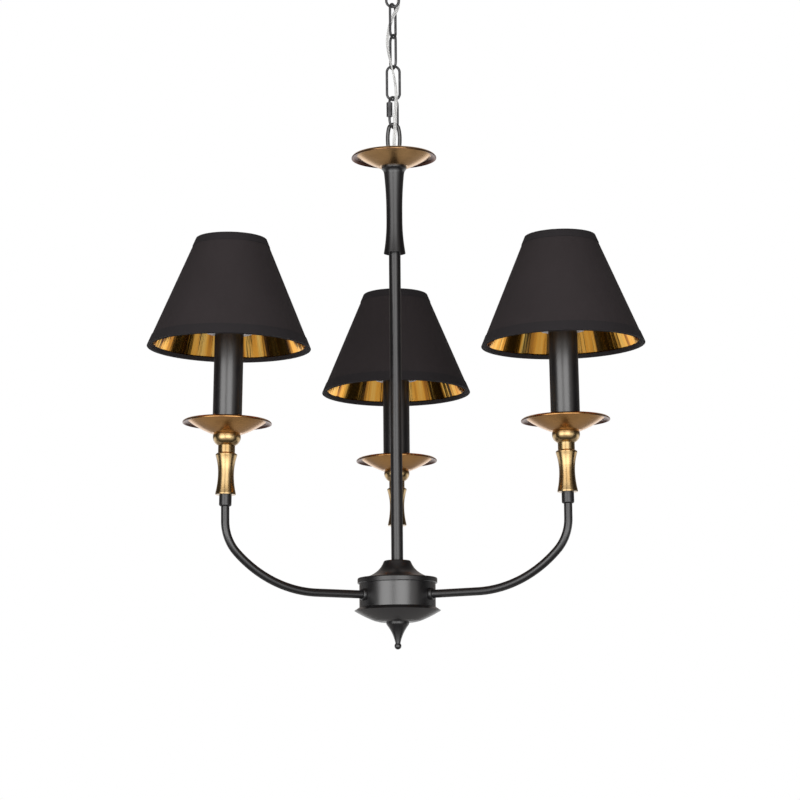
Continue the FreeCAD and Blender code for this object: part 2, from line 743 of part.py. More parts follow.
def quick_link():
    """Open link, closed by its sleeve nut, that carries the lamp."""
    where = place(z=quick_top_z - quick_middle_length / 2, angle=QUICK_LINK_AZIMUTH)
    body = link("quick_link", s.quick_bend, quick_middle_length, s.quick_gap, s.quick_nut_rise)
    body.Placement = where
    nut_low = s.quick_nut_rise - s.quick_nut_length / 2
    nut = hex_nut(
        "quick_link_nut",
        s.quick_nut_corner,
        s.link_wire + s.fit_gap / 2,
        s.quick_nut_length,
        where * place(x=-s.quick_bend, z=nut_low),
    )
    return [body, nut]


# Supply cord: route points by hand, in millimetres from the ceiling's middle
CORD_ROUTE = [
    (0.0, 0.0, -1.0),
    (0.0, 0.0, -46.0),
    (0.7, 0.6, -56.0),
    (2.6, 2.2, -65.0),
    (4.6, 4.0, -74.0),
    (5.7, 5.2, -84.0),
    (6.1, 5.5, -94.5),
    (6.0, 4.7, -103.5),
    (5.6, 3.0, -111.0),
    (2.4, 1.2, -117.0),
    (-1.0, 0.5, -123.5),
    (-3.4, 0.0, -132.0),
    (-5.2, -0.4, -141.5),
    (-6.0, -0.8, -150.5),
    (-5.0, -1.9, -159.5),
    (-3.5, -3.8, -167.5),
    (-1.9, -5.2, -175.5),
    (0.2, -5.7, -184.0),
    (1.8, -5.4, -193.0),
    (2.8, -4.8, -202.0),
    (2.9, -4.7, -211.0),
    (2.3, -4.6, -220.0),
    (1.5, -4.9, -229.0),
    (1.5, -4.8, -238.0),
    (1.2, -3.5, -246.0),
    (0.5, -1.4, -254.0),
    (0.0, 0.0, -263.0),
    (0.0, 0.0, -279.0),
]


def cord_path(points):
    """Straight runs joined by tangent arcs as large as the runs allow, and the arcs' radii."""
    share = 0.45
    edges = []
    radii = []
    start = points[0]
    for before, corner, after in zip(points, points[1:], points[2:]):
        incoming = (corner - before).normalize()
        outgoing = (after - corner).normalize()
        turn = incoming.getAngle(outgoing)
        reach = share * min((corner - before).Length, (after - corner).Length)
        entry = corner - incoming * reach
        leave = corner + outgoing * reach
        radius = reach / math.tan(turn / 2)
        inward = (outgoing - incoming).normalize()
        centre_gap = radius / math.cos(turn / 2)
        middle = corner + inward * (centre_gap - radius)
        edges.append(Part.LineSegment(start, entry).toShape())
        edges.append(Part.Arc(entry, middle, leave).toShape())
        radii.append(radius)
        start = leave
    edges.append(Part.LineSegment(start, points[-1]).toShape())
    return Part.Wire(edges), radii


def supply_cord():
    """The whole cord, from the top of the nipple, through the chain, into the lamp's loop."""
    points = [FreeCAD.Vector(*point) for point in CORD_ROUTE]
    path, radii = cord_path(points)
    direction = points[1] - points[0]
    disc = Part.Wire(Part.Circle(points[0], direction, float(s.cord_radius)).toShape())
    cord = doc.addObject("Part::Feature", "supply_cord")
    cord.Label = "supply_cord"
    cord.Shape = path.makePipeShell([disc], True, False)
    cord.Placement = place()
    expected = path.Length * math.pi * float(s.cord_radius) ** 2
    print("cord length", round(path.Length, 1), "smallest radii", [round(r, 1) for r in sorted(radii)[:5]])
    print("cord volume over section times length", round(cord.Shape.Volume / expected, 4))
    return cord


# Stem
def saucer(label, drop):
    """Pressed brass saucer with a flat middle, a bowl and a curled edge."""
    sheet = s.saucer_sheet
    rise = s.saucer_rise
    edge = s.saucer_rise - drop
    corners = [
        (s.rod_radius + s.fit_gap, 0.0),
        (s.saucer_seat, 0.0),
        (s.saucer_bowl, rise, s.saucer_bowl_curve),
        (s.saucer_rim, edge, -s.saucer_curl),
        (s.saucer_rim, edge + sheet),
        (s.saucer_bowl, rise + sheet, s.saucer_curl),
        (s.saucer_seat, sheet, -s.saucer_bowl_curve),
        (s.rod_radius + s.fit_gap, sheet),
    ]
    return turned(label, corners)


def crown_dish():
    """Saucer under the hanging loop."""
    dish = saucer("crown_dish", s.dish_drop)
    dish.setExpression("Placement.Base.z", dish_z.formula)
    return dish


def stem_sleeve():
    """Tapered sleeve: flared bottom, waist and a lipped, flared top."""
    inner = s.stem_radius + s.fit_gap
    waist_top = s.sleeve_waist_height + s.sleeve_waist_run
    lip_low = s.sleeve_length - s.sleeve_lip
    flare_low = lip_low - s.sleeve_flare
    lower_curve = tangent_curve(s.sleeve_waist_height, s.sleeve_bottom - s.sleeve_waist)
    upper_curve = tangent_curve(flare_low - waist_top, s.sleeve_shoulder - s.sleeve_waist)
    corners = [
        (inner, 0.0),
        (s.sleeve_bottom, 0.0),
        (s.sleeve_waist, s.sleeve_waist_height, -lower_curve),
        (s.sleeve_waist, waist_top),
        (s.sleeve_shoulder, flare_low, -upper_curve),
        (s.sleeve_top, lip_low, -s.sleeve_flare_curve),
        (s.sleeve_top, s.sleeve_length),
        (inner, s.sleeve_length),
    ]
    return turned("stem_sleeve", corners, sleeve_z)


def stem_rod():
    """Hollow threaded rod through the whole stem, with a window for the wires inside the hub."""
    tube = ring("rod_tube", s.rod_bore, s.rod_radius, rod_high_z - rod_low_z, rod_low_z)
    window = primitive(
        "Part::Box",
        "rod_window",
        {"Length": 4 * s.rod_radius, "Width": s.rod_window_width, "Height": s.rod_window},
        place(
            -2 * s.rod_radius,
            -s.rod_window_width / 2,
            hub_z + s.rod_window_top - s.rod_window,
        ),
    )
    return cut_from("stem_rod", tube, window)


def stem_wires():
    """Two conductors from the cord's end down the rod to its window."""
    low = hub_z - s.wire_end
    high = CORD_ROUTE[-1][-1]
    pieces = []
    for side in (-1, 1):
        pieces.append(
            primitive(
                "Part::Cylinder",
                "stem_wire",
                {"Radius": s.wire_radius, "Height": high - low},
                place(x=side * s.wire_offset, z=low),
            )
        )
    return joined_pieces("Part::Compound", "stem_wires", pieces)


# Hub
def hub_cover():
    """Bell-shaped cover, lapped over the hub body, with the stem standing on its neck."""
    inner = s.rod_radius + s.fit_gap
    shoulder_z = s.cover_skirt + s.cover_shoulder_rise
    neck_z = s.cover_skirt + s.cover_neck_rise
    hollow_z = neck_z - s.cover_collar_rise - s.cover_wall
    ledge = s.hub_radius - s.cover_ledge
    rim_top = s.cover_radius - s.cover_rim_round
    wide_curve = tangent_curve(rim_top - s.cover_shoulder, s.cover_shoulder_rise)
    corners = [
        (s.hub_radius + s.fit_gap, 0.0),
        (s.cover_radius - s.cover_rim_round / 2, 0.0),
        (s.cover_radius, s.cover_rim_round / 2, s.cover_rim_round / 2),
        (s.cover_radius, s.cover_skirt - s.cover_rim_round),
        (rim_top, s.cover_skirt, s.cover_rim_round),
        (s.cover_shoulder, shoulder_z, -wide_curve),
        (s.cover_neck, neck_z, -s.cover_upper_curve),
        (s.cover_collar, cover_height, s.cover_neck_round),
        (inner, cover_height),
        (inner, hollow_z),
        (s.cover_neck - s.cover_wall, hollow_z),
        (s.cover_shoulder - s.cover_wall / 2, shoulder_z - s.cover_wall - s.cover_wall / 2),
        (ledge, s.cover_skirt - s.cover_wall / 2),
        (ledge, s.cover_lap),
        (s.hub_radius + s.fit_gap, s.cover_lap),
    ]
    return turned("hub_cover", corners, cover_z)


def hub_body():
    """Round can with a hole for each arm."""
    height = s.hub_top + s.hub_bottom
    inner = s.hub_radius - s.hub_wall
    corners = [
        (s.rod_radius + s.fit_gap, height - s.hub_wall),
        (inner, height - s.hub_wall),
        (inner, 0.0),
        (s.hub_radius, 0.0),
        (s.hub_radius, height),
        (s.rod_radius + s.fit_gap, height),
    ]
    body = turned("hub_body", corners)
    hole = drilled(body, "YZ_Plane", "arm_hole", s.arm_radius + s.fit_gap, s.hub_bottom - s.arm_drop)
    repeated(body, hole, LAMP_COUNT)
    body.Placement = place(z=hub_floor_z, angle=LAMP_AZIMUTHS["back"])
    body.setExpression("Placement.Base.z", hub_floor_z.formula)
    return body


def hub_bowl():
    """Shallow bowl with a sharp lip that closes the hub from below."""
    inner = s.rod_radius + s.fit_gap
    lip_z = s.bowl_depth - s.bowl_lip_drop
    corners = [
        (inner, 0.0),
        (s.bowl_foot, 0.0),
        (s.bowl_edge, s.bowl_edge_rise),
        (s.bowl_lip, lip_z, s.bowl_curve),
        (s.hub_radius, s.bowl_depth),
        (s.hub_radius - s.hub_wall, s.bowl_depth),
        (s.hub_radius - s.hub_wall, lip_z - s.bowl_wall / 2),
        (s.bowl_foot, s.bowl_wall),
        (inner, s.bowl_wall),
    ]
    return turned("hub_bowl", corners, bowl_z)


def finial():
    """Turned finial with a hollow flank and a small ball."""
    neck_z = s.finial_ball + root(s.finial_ball * s.finial_ball - s.finial_neck * s.finial_neck)
    disc_z = s.finial_height - s.finial_disc_height
    thread_z = s.finial_height - s.finial_thread_depth
    corners = [
        (0.0, 0.0),
        (s.finial_neck, neck_z, s.finial_ball),
        (s.finial_flank, disc_z - s.finial_flank_drop, -s.finial_curve),
        (s.finial_disc, disc_z),
        (s.finial_disc, s.finial_height),
        (s.rod_radius + s.fit_gap, s.finial_height),
        (s.rod_radius + s.fit_gap, thread_z),
        (0.0, thread_z),
    ]
    return turned("finial", corners, finial_z)


def rod_nuts():
    """Hexagon nuts on the rods: two inside the hub and one inside each candle sleeve."""
    bore = s.rod_radius + s.fit_gap
    places = [
        place(z=hub_z + s.hub_top - s.hub_wall - s.nut_height),
        place(z=bowl_z + s.bowl_wall),
    ]
    places += [lamp_place(side) * place(z=candle_rise) for side in LAMP_AZIMUTHS]
    nuts = [hex_nut("rod_nut", s.nut_corner, bore, s.nut_height, where) for where in places]
    return joined_pieces("Part::Compound", "rod_nuts", nuts)


def radial_place(side, distance):
    """A place on an arm's line, its Z axis outwards along the arm."""
    outward = place(axis=(0, 1, 0), angle=QUARTER_TURN)
    return place(z=arm_z, angle=LAMP_AZIMUTHS[side]) * place(x=distance) * outward


def arm_nuts():
    """Hexagon nuts that hold the arms from inside the hub."""
    inner = s.hub_radius - s.hub_wall
    face = root(inner * inner - s.arm_nut_corner * s.arm_nut_corner) - s.seat_gap
    nuts = []
    for side in LAMP_AZIMUTHS:
        where = radial_place(side, face - s.arm_nut_height)
        bore = s.arm_radius + s.fit_gap
        nuts.append(hex_nut("arm_nut", s.arm_nut_corner, bore, s.arm_nut_height, where))
    return joined_pieces("Part::Compound", "arm_nuts", nuts)


def one_per_arm(label, name, corners, placement_of):
    """One turned piece at each arm, as separate solids of one sub-part."""
    pieces = []
    for side in LAMP_AZIMUTHS:
        piece = turned(f"{name}_{side}", corners)
        piece.Placement = placement_of(side)
        pieces.append(piece)
    return joined_pieces("Part::Compound", label, pieces)


def arm_ferrules():
    """Small rounded flanges where the arms enter the hub."""
    inner = s.arm_radius + s.fit_gap
    corners = [
        (inner, 0.0),
        (s.ferrule_radius, 0.0),
        (s.ferrule_radius, s.ferrule_height - s.ferrule_round),
        (s.ferrule_radius - s.ferrule_round, s.ferrule_height, s.ferrule_round),
        (inner, s.ferrule_height),
    ]
    return one_per_arm("arm_ferrules", "ferrule", corners, lambda side: radial_place(side, s.hub_radius))


def wire_connectors():
    """Insulated connectors on the inner ends of the arms' wires."""
    corners = [
        (0.0, 0.0),
        (s.connector_tip, 0.0),
        (s.connector_mouth, s.connector_length),
        (0.0, s.connector_length),
    ]
    start = s.arm_start - s.connector_length
    return one_per_arm("wire_connectors", "connector", corners, lambda side: radial_place(side, start))


# Arms
def arm_route():
    """Corners of an arm's line in its own plane: level, two bends and an upright end."""
    return [
        (0.0, 0.0),
        (s.arm_straight, 0.0),
        (arm_long_x, arm_long_rise, s.arm_long_bend),
        (arm_reach, arm_short_rise, s.arm_short_bend),
        (arm_reach, arm_height),
    ]


def swept(label, radii):
    """A tube or a round bar along the arm's line."""
    body = new_body(label)
    line = plane_sketch(body, "XZ_Plane", "line")
    draw(line, arm_route(), closed=False)
    section = plane_sketch(body, "YZ_Plane", "section")
    for radius in radii:
        circle(section, radius)
    pipe = body.newObject("PartDesign::AdditivePipe", label + "_pipe")
    pipe.Profile = section
    pipe.Spine = (line, [f"Edge{number}" for number in range(1, len(arm_route()))])
    body.Tip = pipe
    return body


def arm(side):
    """One bent arm tube."""
    piece = swept(f"arm_{side}", (s.arm_radius, s.arm_bore))
    piece.Placement = arm_place(side)
    return piece


def arm_wires():
    """The flex inside each arm."""
    pieces = []
    for side in LAMP_AZIMUTHS:
        piece = swept(f"arm_wire_{side}", (s.arm_wire,))
        piece.Placement = arm_place(side)
        pieces.append(piece)
    return joined_pieces("Part::Compound", "arm_wires", pieces)


def arm_collars():
    """Threaded collars on top of the arms, bored for the wires below and the rods above."""
    upper = s.rod_radius + s.fit_gap
    corners = [
        (s.arm_bore, 0.0),
        (s.collar_radius - s.collar_round, 0.0),
        (s.collar_radius, s.collar_round, s.collar_round),
        (s.collar_radius, s.collar_height),
        (upper, s.collar_height),
        (upper, rod_rise),
        (s.arm_bore, rod_rise),
    ]
    return one_per_arm("arm_collars", "collar", corners, lamp_place)


# Lamps
def in_lamp(piece, side, rise):
    """A piece set at its height up a lamp."""
    piece.Placement = lamp_place(side) * place(z=rise)
    return piece


def lamp_rods():
    """Hollow rods that clamp vase and saucer and carry the lampholders."""
    corners = [
        (s.rod_bore, 0.0),
        (s.rod_radius, 0.0),
        (s.rod_radius, s.rod_length),
        (s.rod_bore, s.rod_length),
    ]
    return one_per_arm("lamp_rods", "lamp_rod", corners, lambda side: lamp_place(side) * place(z=rod_rise))


def vase(side):
    """Turned brass vase: foot, waist, lip, neck and bead."""
    inner = s.rod_radius + s.fit_gap
    waist_z = s.vase_foot_height + s.vase_waist_rise
    lip_z = waist_z + s.vase_lip_rise
    neck_z = lip_z + s.vase_lip_height + s.vase_neck_step
    bead_low_z = neck_z + s.vase_neck_height
    bead_z = bead_low_z + s.vase_bead_rise
    corners = [
        (inner, 0.0),
        (s.vase_foot, 0.0),
        (s.vase_foot, s.vase_foot_height),
        (s.vase_waist, waist_z, -tangent_curve(s.vase_waist_rise, s.vase_foot - s.vase_waist)),
        (s.vase_lip, lip_z, -tangent_curve(s.vase_lip_rise, s.vase_lip - s.vase_waist)),
        (s.vase_lip, lip_z + s.vase_lip_height),
        (s.vase_neck, neck_z),
        (s.vase_neck, bead_low_z),
        (s.vase_bead, bead_z, tangent_curve(s.vase_bead_rise, s.vase_bead - s.vase_neck)),
        (s.vase_top, s.vase_height, tangent_curve(s.vase_height - bead_z, s.vase_bead - s.vase_top)),
        (inner, s.vase_height),
    ]
    return in_lamp(turned(f"vase_{side}", corners), side, vase_rise)


def drip_saucer(side):
    """Brass saucer under a candle."""
    return in_lamp(saucer(f"drip_saucer_{side}", s.saucer_drop), side, saucer_rise)


def candle_sleeve(side):
    """Plain tube over the lampholder."""
    inner = s.candle_radius - s.candle_wall
    corners = [
        (inner, 0.0),
        (s.candle_radius, 0.0),
        (s.candle_radius, s.candle_height),
        (inner, s.candle_height),
    ]
    return in_lamp(turned(f"candle_sleeve_{side}", corners), side, candle_rise)


def lampholder(side):
    """E14 lampholder with its screw shell open upwards."""
    floor = holder_height - s.screw_depth
    corners = [
        (0.0, s.holder_thread_depth),
        (s.rod_radius + s.fit_gap, s.holder_thread_depth),
        (s.rod_radius + s.fit_gap, 0.0),
        (s.holder_cup, 0.0),
        (s.holder_cup, s.holder_cup_height),
        (s.holder_radius, s.holder_cup_height + s.holder_slope),
        (s.holder_radius, holder_height),
        (s.screw_radius, holder_height),
        (s.screw_radius, floor),
        (0.0, floor),
    ]
    return in_lamp(turned(f"lampholder_{side}", corners), side, holder_rise)


def shade_rings():
    """Screw rings that clamp the shades' washers on the lampholders."""
    inner = s.holder_radius + s.fit_gap
    top = s.shade_ring_height
    corners = [
        (inner, 0.0),
        (s.shade_ring_radius, 0.0),
        (s.shade_ring_radius, top - s.shade_ring_round),
        (s.shade_ring_radius - s.shade_ring_round, top, s.shade_ring_round),
        (inner, top),
    ]
    rise = washer_rise + s.washer_thickness
    return one_per_arm("shade_rings", "shade_ring", corners, lambda side: lamp_place(side) * place(z=rise))


# Shades: each is drawn from its lower edge, and its wall slopes by the same flare throughout
fabric_inset = s.trim_tape + s.seat_gap
lining_inset = fabric_inset + s.cover_fabric + s.seat_gap
frame_inset = lining_inset + s.lining_foil + s.seat_gap
fold_inset = frame_inset + 2 * s.frame_wire + s.seat_gap
shade_low = s.trim_tape + s.seat_gap
shade_high = s.shade_height - s.trim_tape - s.seat_gap


def flare(inset, rise):
    """Radius of the shade's wall, inset from its outside, at a height above its lower edge."""
    slope = (s.shade_radius - s.shade_top_radius) / s.shade_height
    return s.shade_radius - inset - slope * rise


def shade_wall(label, inset, thickness):
    """One layer of the shade's wall."""
    inner = inset + thickness
    corners = [
        (flare(inner, shade_low), shade_low),
        (flare(inset, shade_low), shade_low),
        (flare(inset, shade_high), shade_high),
        (flare(inner, shade_high), shade_high),
    ]
    return turned(label, corners)


def shade_cover(side):
    """Fabric on card."""
    return in_lamp(shade_wall(f"shade_cover_{side}", fabric_inset, s.cover_fabric), side, shade_rise)


def shade_lining(side):
    """Gold foil lining."""
    return in_lamp(shade_wall(f"shade_lining_{side}", lining_inset, s.lining_foil), side, shade_rise)


def shade_trim(side):
    """Trim tape: folded round the lower edge and its wire, and over the upper edge and its wire."""
    tape = s.trim_tape
    top = s.shade_height
    lower = [
        (flare(fold_inset + tape, 0), 0.0),
        (flare(0, 0), 0.0),
        (flare(0, s.trim_bottom), s.trim_bottom),
        (flare(tape, s.trim_bottom), s.trim_bottom),
        (flare(tape, tape), tape),
        (flare(fold_inset, tape), tape),
        (flare(fold_inset, s.trim_fold), s.trim_fold),
        (flare(fold_inset + tape, s.trim_fold), s.trim_fold),
    ]
    upper_low = top - s.trim_top
    upper = [
        (flare(0, upper_low), upper_low),
        (flare(0, top), top),
        (flare(fold_inset, top), top),
        (flare(fold_inset, top - tape), top - tape),
        (flare(tape, top - tape), top - tape),
        (flare(tape, upper_low), upper_low),
    ]
    pieces = [turned(f"trim_lower_{side}", lower), turned(f"trim_upper_{side}", upper)]
    return in_lamp(joined_pieces("Part::Compound", f"shade_trim_{side}", pieces), side, shade_rise)


def wire_ring(name, rise):
    """A wire ring just inside the shade's lining."""
    radius = flare(frame_inset + s.frame_wire, rise)
    seam = FULL_TURN / FRAME_WIRES / 2
    return primitive(
        "Part::Torus",
        name,
        {"Radius1": radius, "Radius2": s.frame_wire},
        place(z=rise, angle=seam),
    )


def shade_frame(side):
    """Wire frame: perforated washer hung from the upper ring by wires, and the lower ring."""
    disc = primitive(
        "Part::Cylinder",
        "washer_disc",
        {"Radius": s.washer_radius, "Height": s.washer_thickness},
        place(z=s.washer_rise),
    )
    holes = [
        primitive(
            "Part::Cylinder",
            "washer_bore",
            {"Radius": s.holder_radius + s.fit_gap, "Height": s.washer_thickness},
            place(z=s.washer_rise),
        )
    ]
    for number in range(PERFORATIONS):
        turn = place(angle=(number + 0.5) * FULL_TURN / PERFORATIONS)
        hole = primitive(
            "Part::Cylinder",
            "perforation",
            {"Radius": s.washer_hole, "Height": s.washer_thickness},
            turn * place(x=s.washer_hole_circle, z=s.washer_rise),
        )
        holes.append(hole)
    washer = cut_from("washer", disc, joined_pieces("Part::MultiFuse", "washer_holes", holes))
    top_rise = shade_high - s.frame_wire
    foot_rise = s.washer_rise + s.washer_thickness / 2
    reach = flare(frame_inset + s.frame_wire, top_rise) - s.frame_foot
    climb = top_rise - foot_rise
    pieces = [washer, wire_ring("upper_ring", top_rise)]
    tilt = math.degrees(math.atan2(float(reach), float(climb)))
    for number in range(FRAME_WIRES):
        turn = place(angle=number * FULL_TURN / FRAME_WIRES)
        where = turn * place(x=s.frame_foot, z=foot_rise) * place(axis=(0, 1, 0), angle=tilt)
        length = root(reach * reach + climb * climb)
        pieces.append(
            primitive("Part::Cylinder", "frame_spoke", {"Radius": s.frame_spoke, "Height": length}, where)
        )
    upper = joined_pieces("Part::MultiFuse", f"upper_frame_{side}", pieces)
    lower = wire_ring("lower_ring", shade_low + s.frame_wire)
    return in_lamp(joined_pieces("Part::Compound", f"shade_frame_{side}", [upper, lower]), side, shade_rise)


# Every node, in the order of the assembly from the ceiling down
nodes = [
    ceiling_bracket(),
    ground_screw(),
    hex_nut(
        "bracket_nut",
        s.nut_corner,
        s.rod_radius + s.fit_gap,
        s.nut_height,
        place(z=-s.bracket_thickness - s.nut_height),
    ),
    ring(
        "canopy_nipple",
        s.rod_bore,
        s.rod_radius,
        s.loop_thread_depth - s.fit_gap - loop_foot_z - s.bracket_thickness / 2,
        loop_foot_z - s.loop_thread_depth + s.fit_gap,
    ),
    canopy(),
    canopy_nut(),
    hanging_loop(
        "canopy_loop",
        place(z=loop_foot_z, angle=CANOPY_LOOP_AZIMUTH) * place(axis=(1, 0, 0), angle=FULL_TURN / 2),
    ),
    supply_cord(),
    *chain(),
    *quick_link(),
    hanging_loop("hang_loop", place(z=dish_floor_z)),
    crown_dish(),
    stem_sleeve(),
    ring("stem_tube", s.rod_radius + s.fit_gap, s.stem_radius, s.stem_length, stem_z),
    stem_rod(),
    stem_wires(),
    hub_cover(),
    hub_body(),
    hub_bowl(),
    finial(),
    rod_nuts(),
    arm_nuts(),
    arm_ferrules(),
    wire_connectors(),
    arm_wires(),
    arm_collars(),
    lamp_rods(),
    shade_rings(),
]
for lamp in LAMP_AZIMUTHS:
    nodes += [
        arm(lamp),
        vase(lamp),
        drip_saucer(lamp),
        candle_sleeve(lamp),
        lampholder(lamp),
        shade_frame(lamp),
        shade_cover(lamp),
        shade_lining(lamp),
        shade_trim(lamp),
    ]

doc.recompute()
for item in doc.Objects:
    if "Invalid" in item.State or "Error" in item.State:
        raise RuntimeError(f"{item.Label} failed: {item.State}")
for node in nodes:
    if node.Shape.isNull() or not node.Shape.isValid():
        raise RuntimeError(f"{node.Label} has no valid shape")
for node in nodes:
    node.Shape.exportStep(f"parts/{node.Label}.step")
print(len(nodes), "sub-parts; hub's middle at", round(float(hub_z), 2), "lowest", round(float(finial_z), 2))
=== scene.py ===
import json
import math

import bpy
from mathutils import Matrix, Vector


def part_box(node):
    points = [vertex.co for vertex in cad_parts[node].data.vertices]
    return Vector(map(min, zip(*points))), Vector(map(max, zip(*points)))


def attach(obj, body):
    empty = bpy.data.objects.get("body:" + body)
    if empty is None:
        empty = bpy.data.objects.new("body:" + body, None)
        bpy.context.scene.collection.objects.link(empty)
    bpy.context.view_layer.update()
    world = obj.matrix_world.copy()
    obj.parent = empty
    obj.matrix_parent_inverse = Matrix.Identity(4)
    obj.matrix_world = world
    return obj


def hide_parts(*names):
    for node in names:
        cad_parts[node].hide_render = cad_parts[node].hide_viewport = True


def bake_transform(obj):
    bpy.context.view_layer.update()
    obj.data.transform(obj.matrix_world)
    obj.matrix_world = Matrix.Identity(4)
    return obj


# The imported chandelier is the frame: metres, the ceiling at z = 0, the viewer on the -Y side
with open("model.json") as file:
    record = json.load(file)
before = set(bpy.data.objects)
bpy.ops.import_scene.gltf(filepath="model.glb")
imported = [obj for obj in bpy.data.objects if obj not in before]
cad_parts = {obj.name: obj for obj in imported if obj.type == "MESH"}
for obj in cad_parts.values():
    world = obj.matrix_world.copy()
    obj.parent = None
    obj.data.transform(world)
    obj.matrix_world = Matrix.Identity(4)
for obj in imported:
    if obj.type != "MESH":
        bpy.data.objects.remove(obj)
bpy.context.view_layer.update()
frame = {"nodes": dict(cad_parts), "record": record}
nodes = frame["nodes"]
bpy.ops.object.select_all(action="DESELECT")

MM = 0.001
TURN = 2.0 * math.pi


# Camera, as it stood for the photograph
FOCAL_PIXELS = 2700.0
PICTURE_PIXELS = 800.0
SENSOR = 36.0
CAMERA_PLACE = Vector((0.00416, -2.71956, -0.95145))
CAMERA_TILT = math.radians(8.89)
CAMERA_ROLL = math.radians(0.49)


def set_camera():
    """Places the camera below the lamp, looking a little upwards."""
    bpy.ops.object.camera_add(location=CAMERA_PLACE)
    camera = bpy.context.object
    camera.name = "camera"
    camera.data.sensor_width = SENSOR
    camera.data.lens = FOCAL_PIXELS / PICTURE_PIXELS * SENSOR
    forward = Vector((0.0, math.cos(CAMERA_TILT), math.sin(CAMERA_TILT)))
    upright = Vector((0.0, -math.sin(CAMERA_TILT), math.cos(CAMERA_TILT)))
    side = forward.cross(upright)
    above = upright * math.cos(CAMERA_ROLL) + side * math.sin(CAMERA_ROLL)
    across = side * math.cos(CAMERA_ROLL) - upright * math.sin(CAMERA_ROLL)
    turn = Matrix((across, above, -forward)).transposed().to_4x4()
    camera.matrix_world = Matrix.Translation(CAMERA_PLACE) @ turn
    bpy.context.scene.camera = camera


# Light and surroundings
def soft_box(name, place, target, width, height, power):
    """One rectangular studio light aimed at a point."""
    bpy.ops.object.light_add(type="AREA", location=place)
    lamp = bpy.context.object
    lamp.name = name
    lamp.data.shape = "RECTANGLE"
    lamp.data.size = width
    lamp.data.size_y = height
    lamp.data.energy = power
    aim = Vector(target) - Vector(place)
    lamp.rotation_euler = aim.to_track_quat("-Z", "Y").to_euler()


# Brightness of the studio above and below the horizon: 0 straight in front, 1 straight behind
STUDIO_ABOVE = [
    (0.0, 0.2),
    (0.24, 0.2),
    (0.3, 0.02),
    (0.7, 0.02),
    (0.8, 0.1),
    (0.93, 0.13),
    (1.0, 0.5),
]
STUDIO_BELOW = [(0.0, 1.5), (0.24, 1.35), (0.3, 0.02), (0.58, 0.02), (0.64, 1.1), (1.0, 1.2)]
# Share of it that is left further down, from level (0) to straight down (1)
STUDIO_DEPTH = [(0.0, 1.0), (0.25, 1.0), (0.42, 0.38), (0.62, 0.38), (0.74, 0.05)]
WHITE = (1.0, 1.0, 1.0)
WARM_CEILING = (1.0, 0.9, 0.84)
# How sharply the part below the horizon turns into the part above it
HORIZON_STEEPNESS = 12.0
LAMP_CENTRE = (0.0, 0.0, -0.5)
# Name, place, width, height and watts of each front light
FRONT_BOXES = [
    ("left_front_box", (-1.94, -2.67, -0.35), 2.35, 3.2, 41.0),
    ("right_front_box", (0.74, -3.22, -0.35), 2.4, 3.2, 42.0),
]
FLOOR_PLACE = (0.0, 1.8, -2.0)
FLOOR_SIZE = 3.6
FLOOR_GLOW = 0.1


def studio_levels(tree, amount, levels, tint=WHITE):
    """Light levels along an amount from 0 to 1."""
    ramp = tree.nodes.new("ShaderNodeValToRGB")
    stops = ramp.color_ramp.elements
    while len(stops) < len(levels):
        stops.new(1.0)
    for stop, (position, level) in zip(stops, levels):
        stop.position = position
        stop.color = (*(level * part for part in tint), 1.0)
    tree.links.new(amount, ramp.inputs["Fac"])
    return ramp.outputs["Color"]


def studio_maths(tree, operation, *terms):
    """One sum in the world's nodes."""
    node = tree.nodes.new("ShaderNodeMath")
    node.operation = operation
    for socket, term in zip(node.inputs, terms):
        if isinstance(term, float):
            socket.default_value = term
        else:
            tree.links.new(term, socket)
    return node.outputs["Value"]


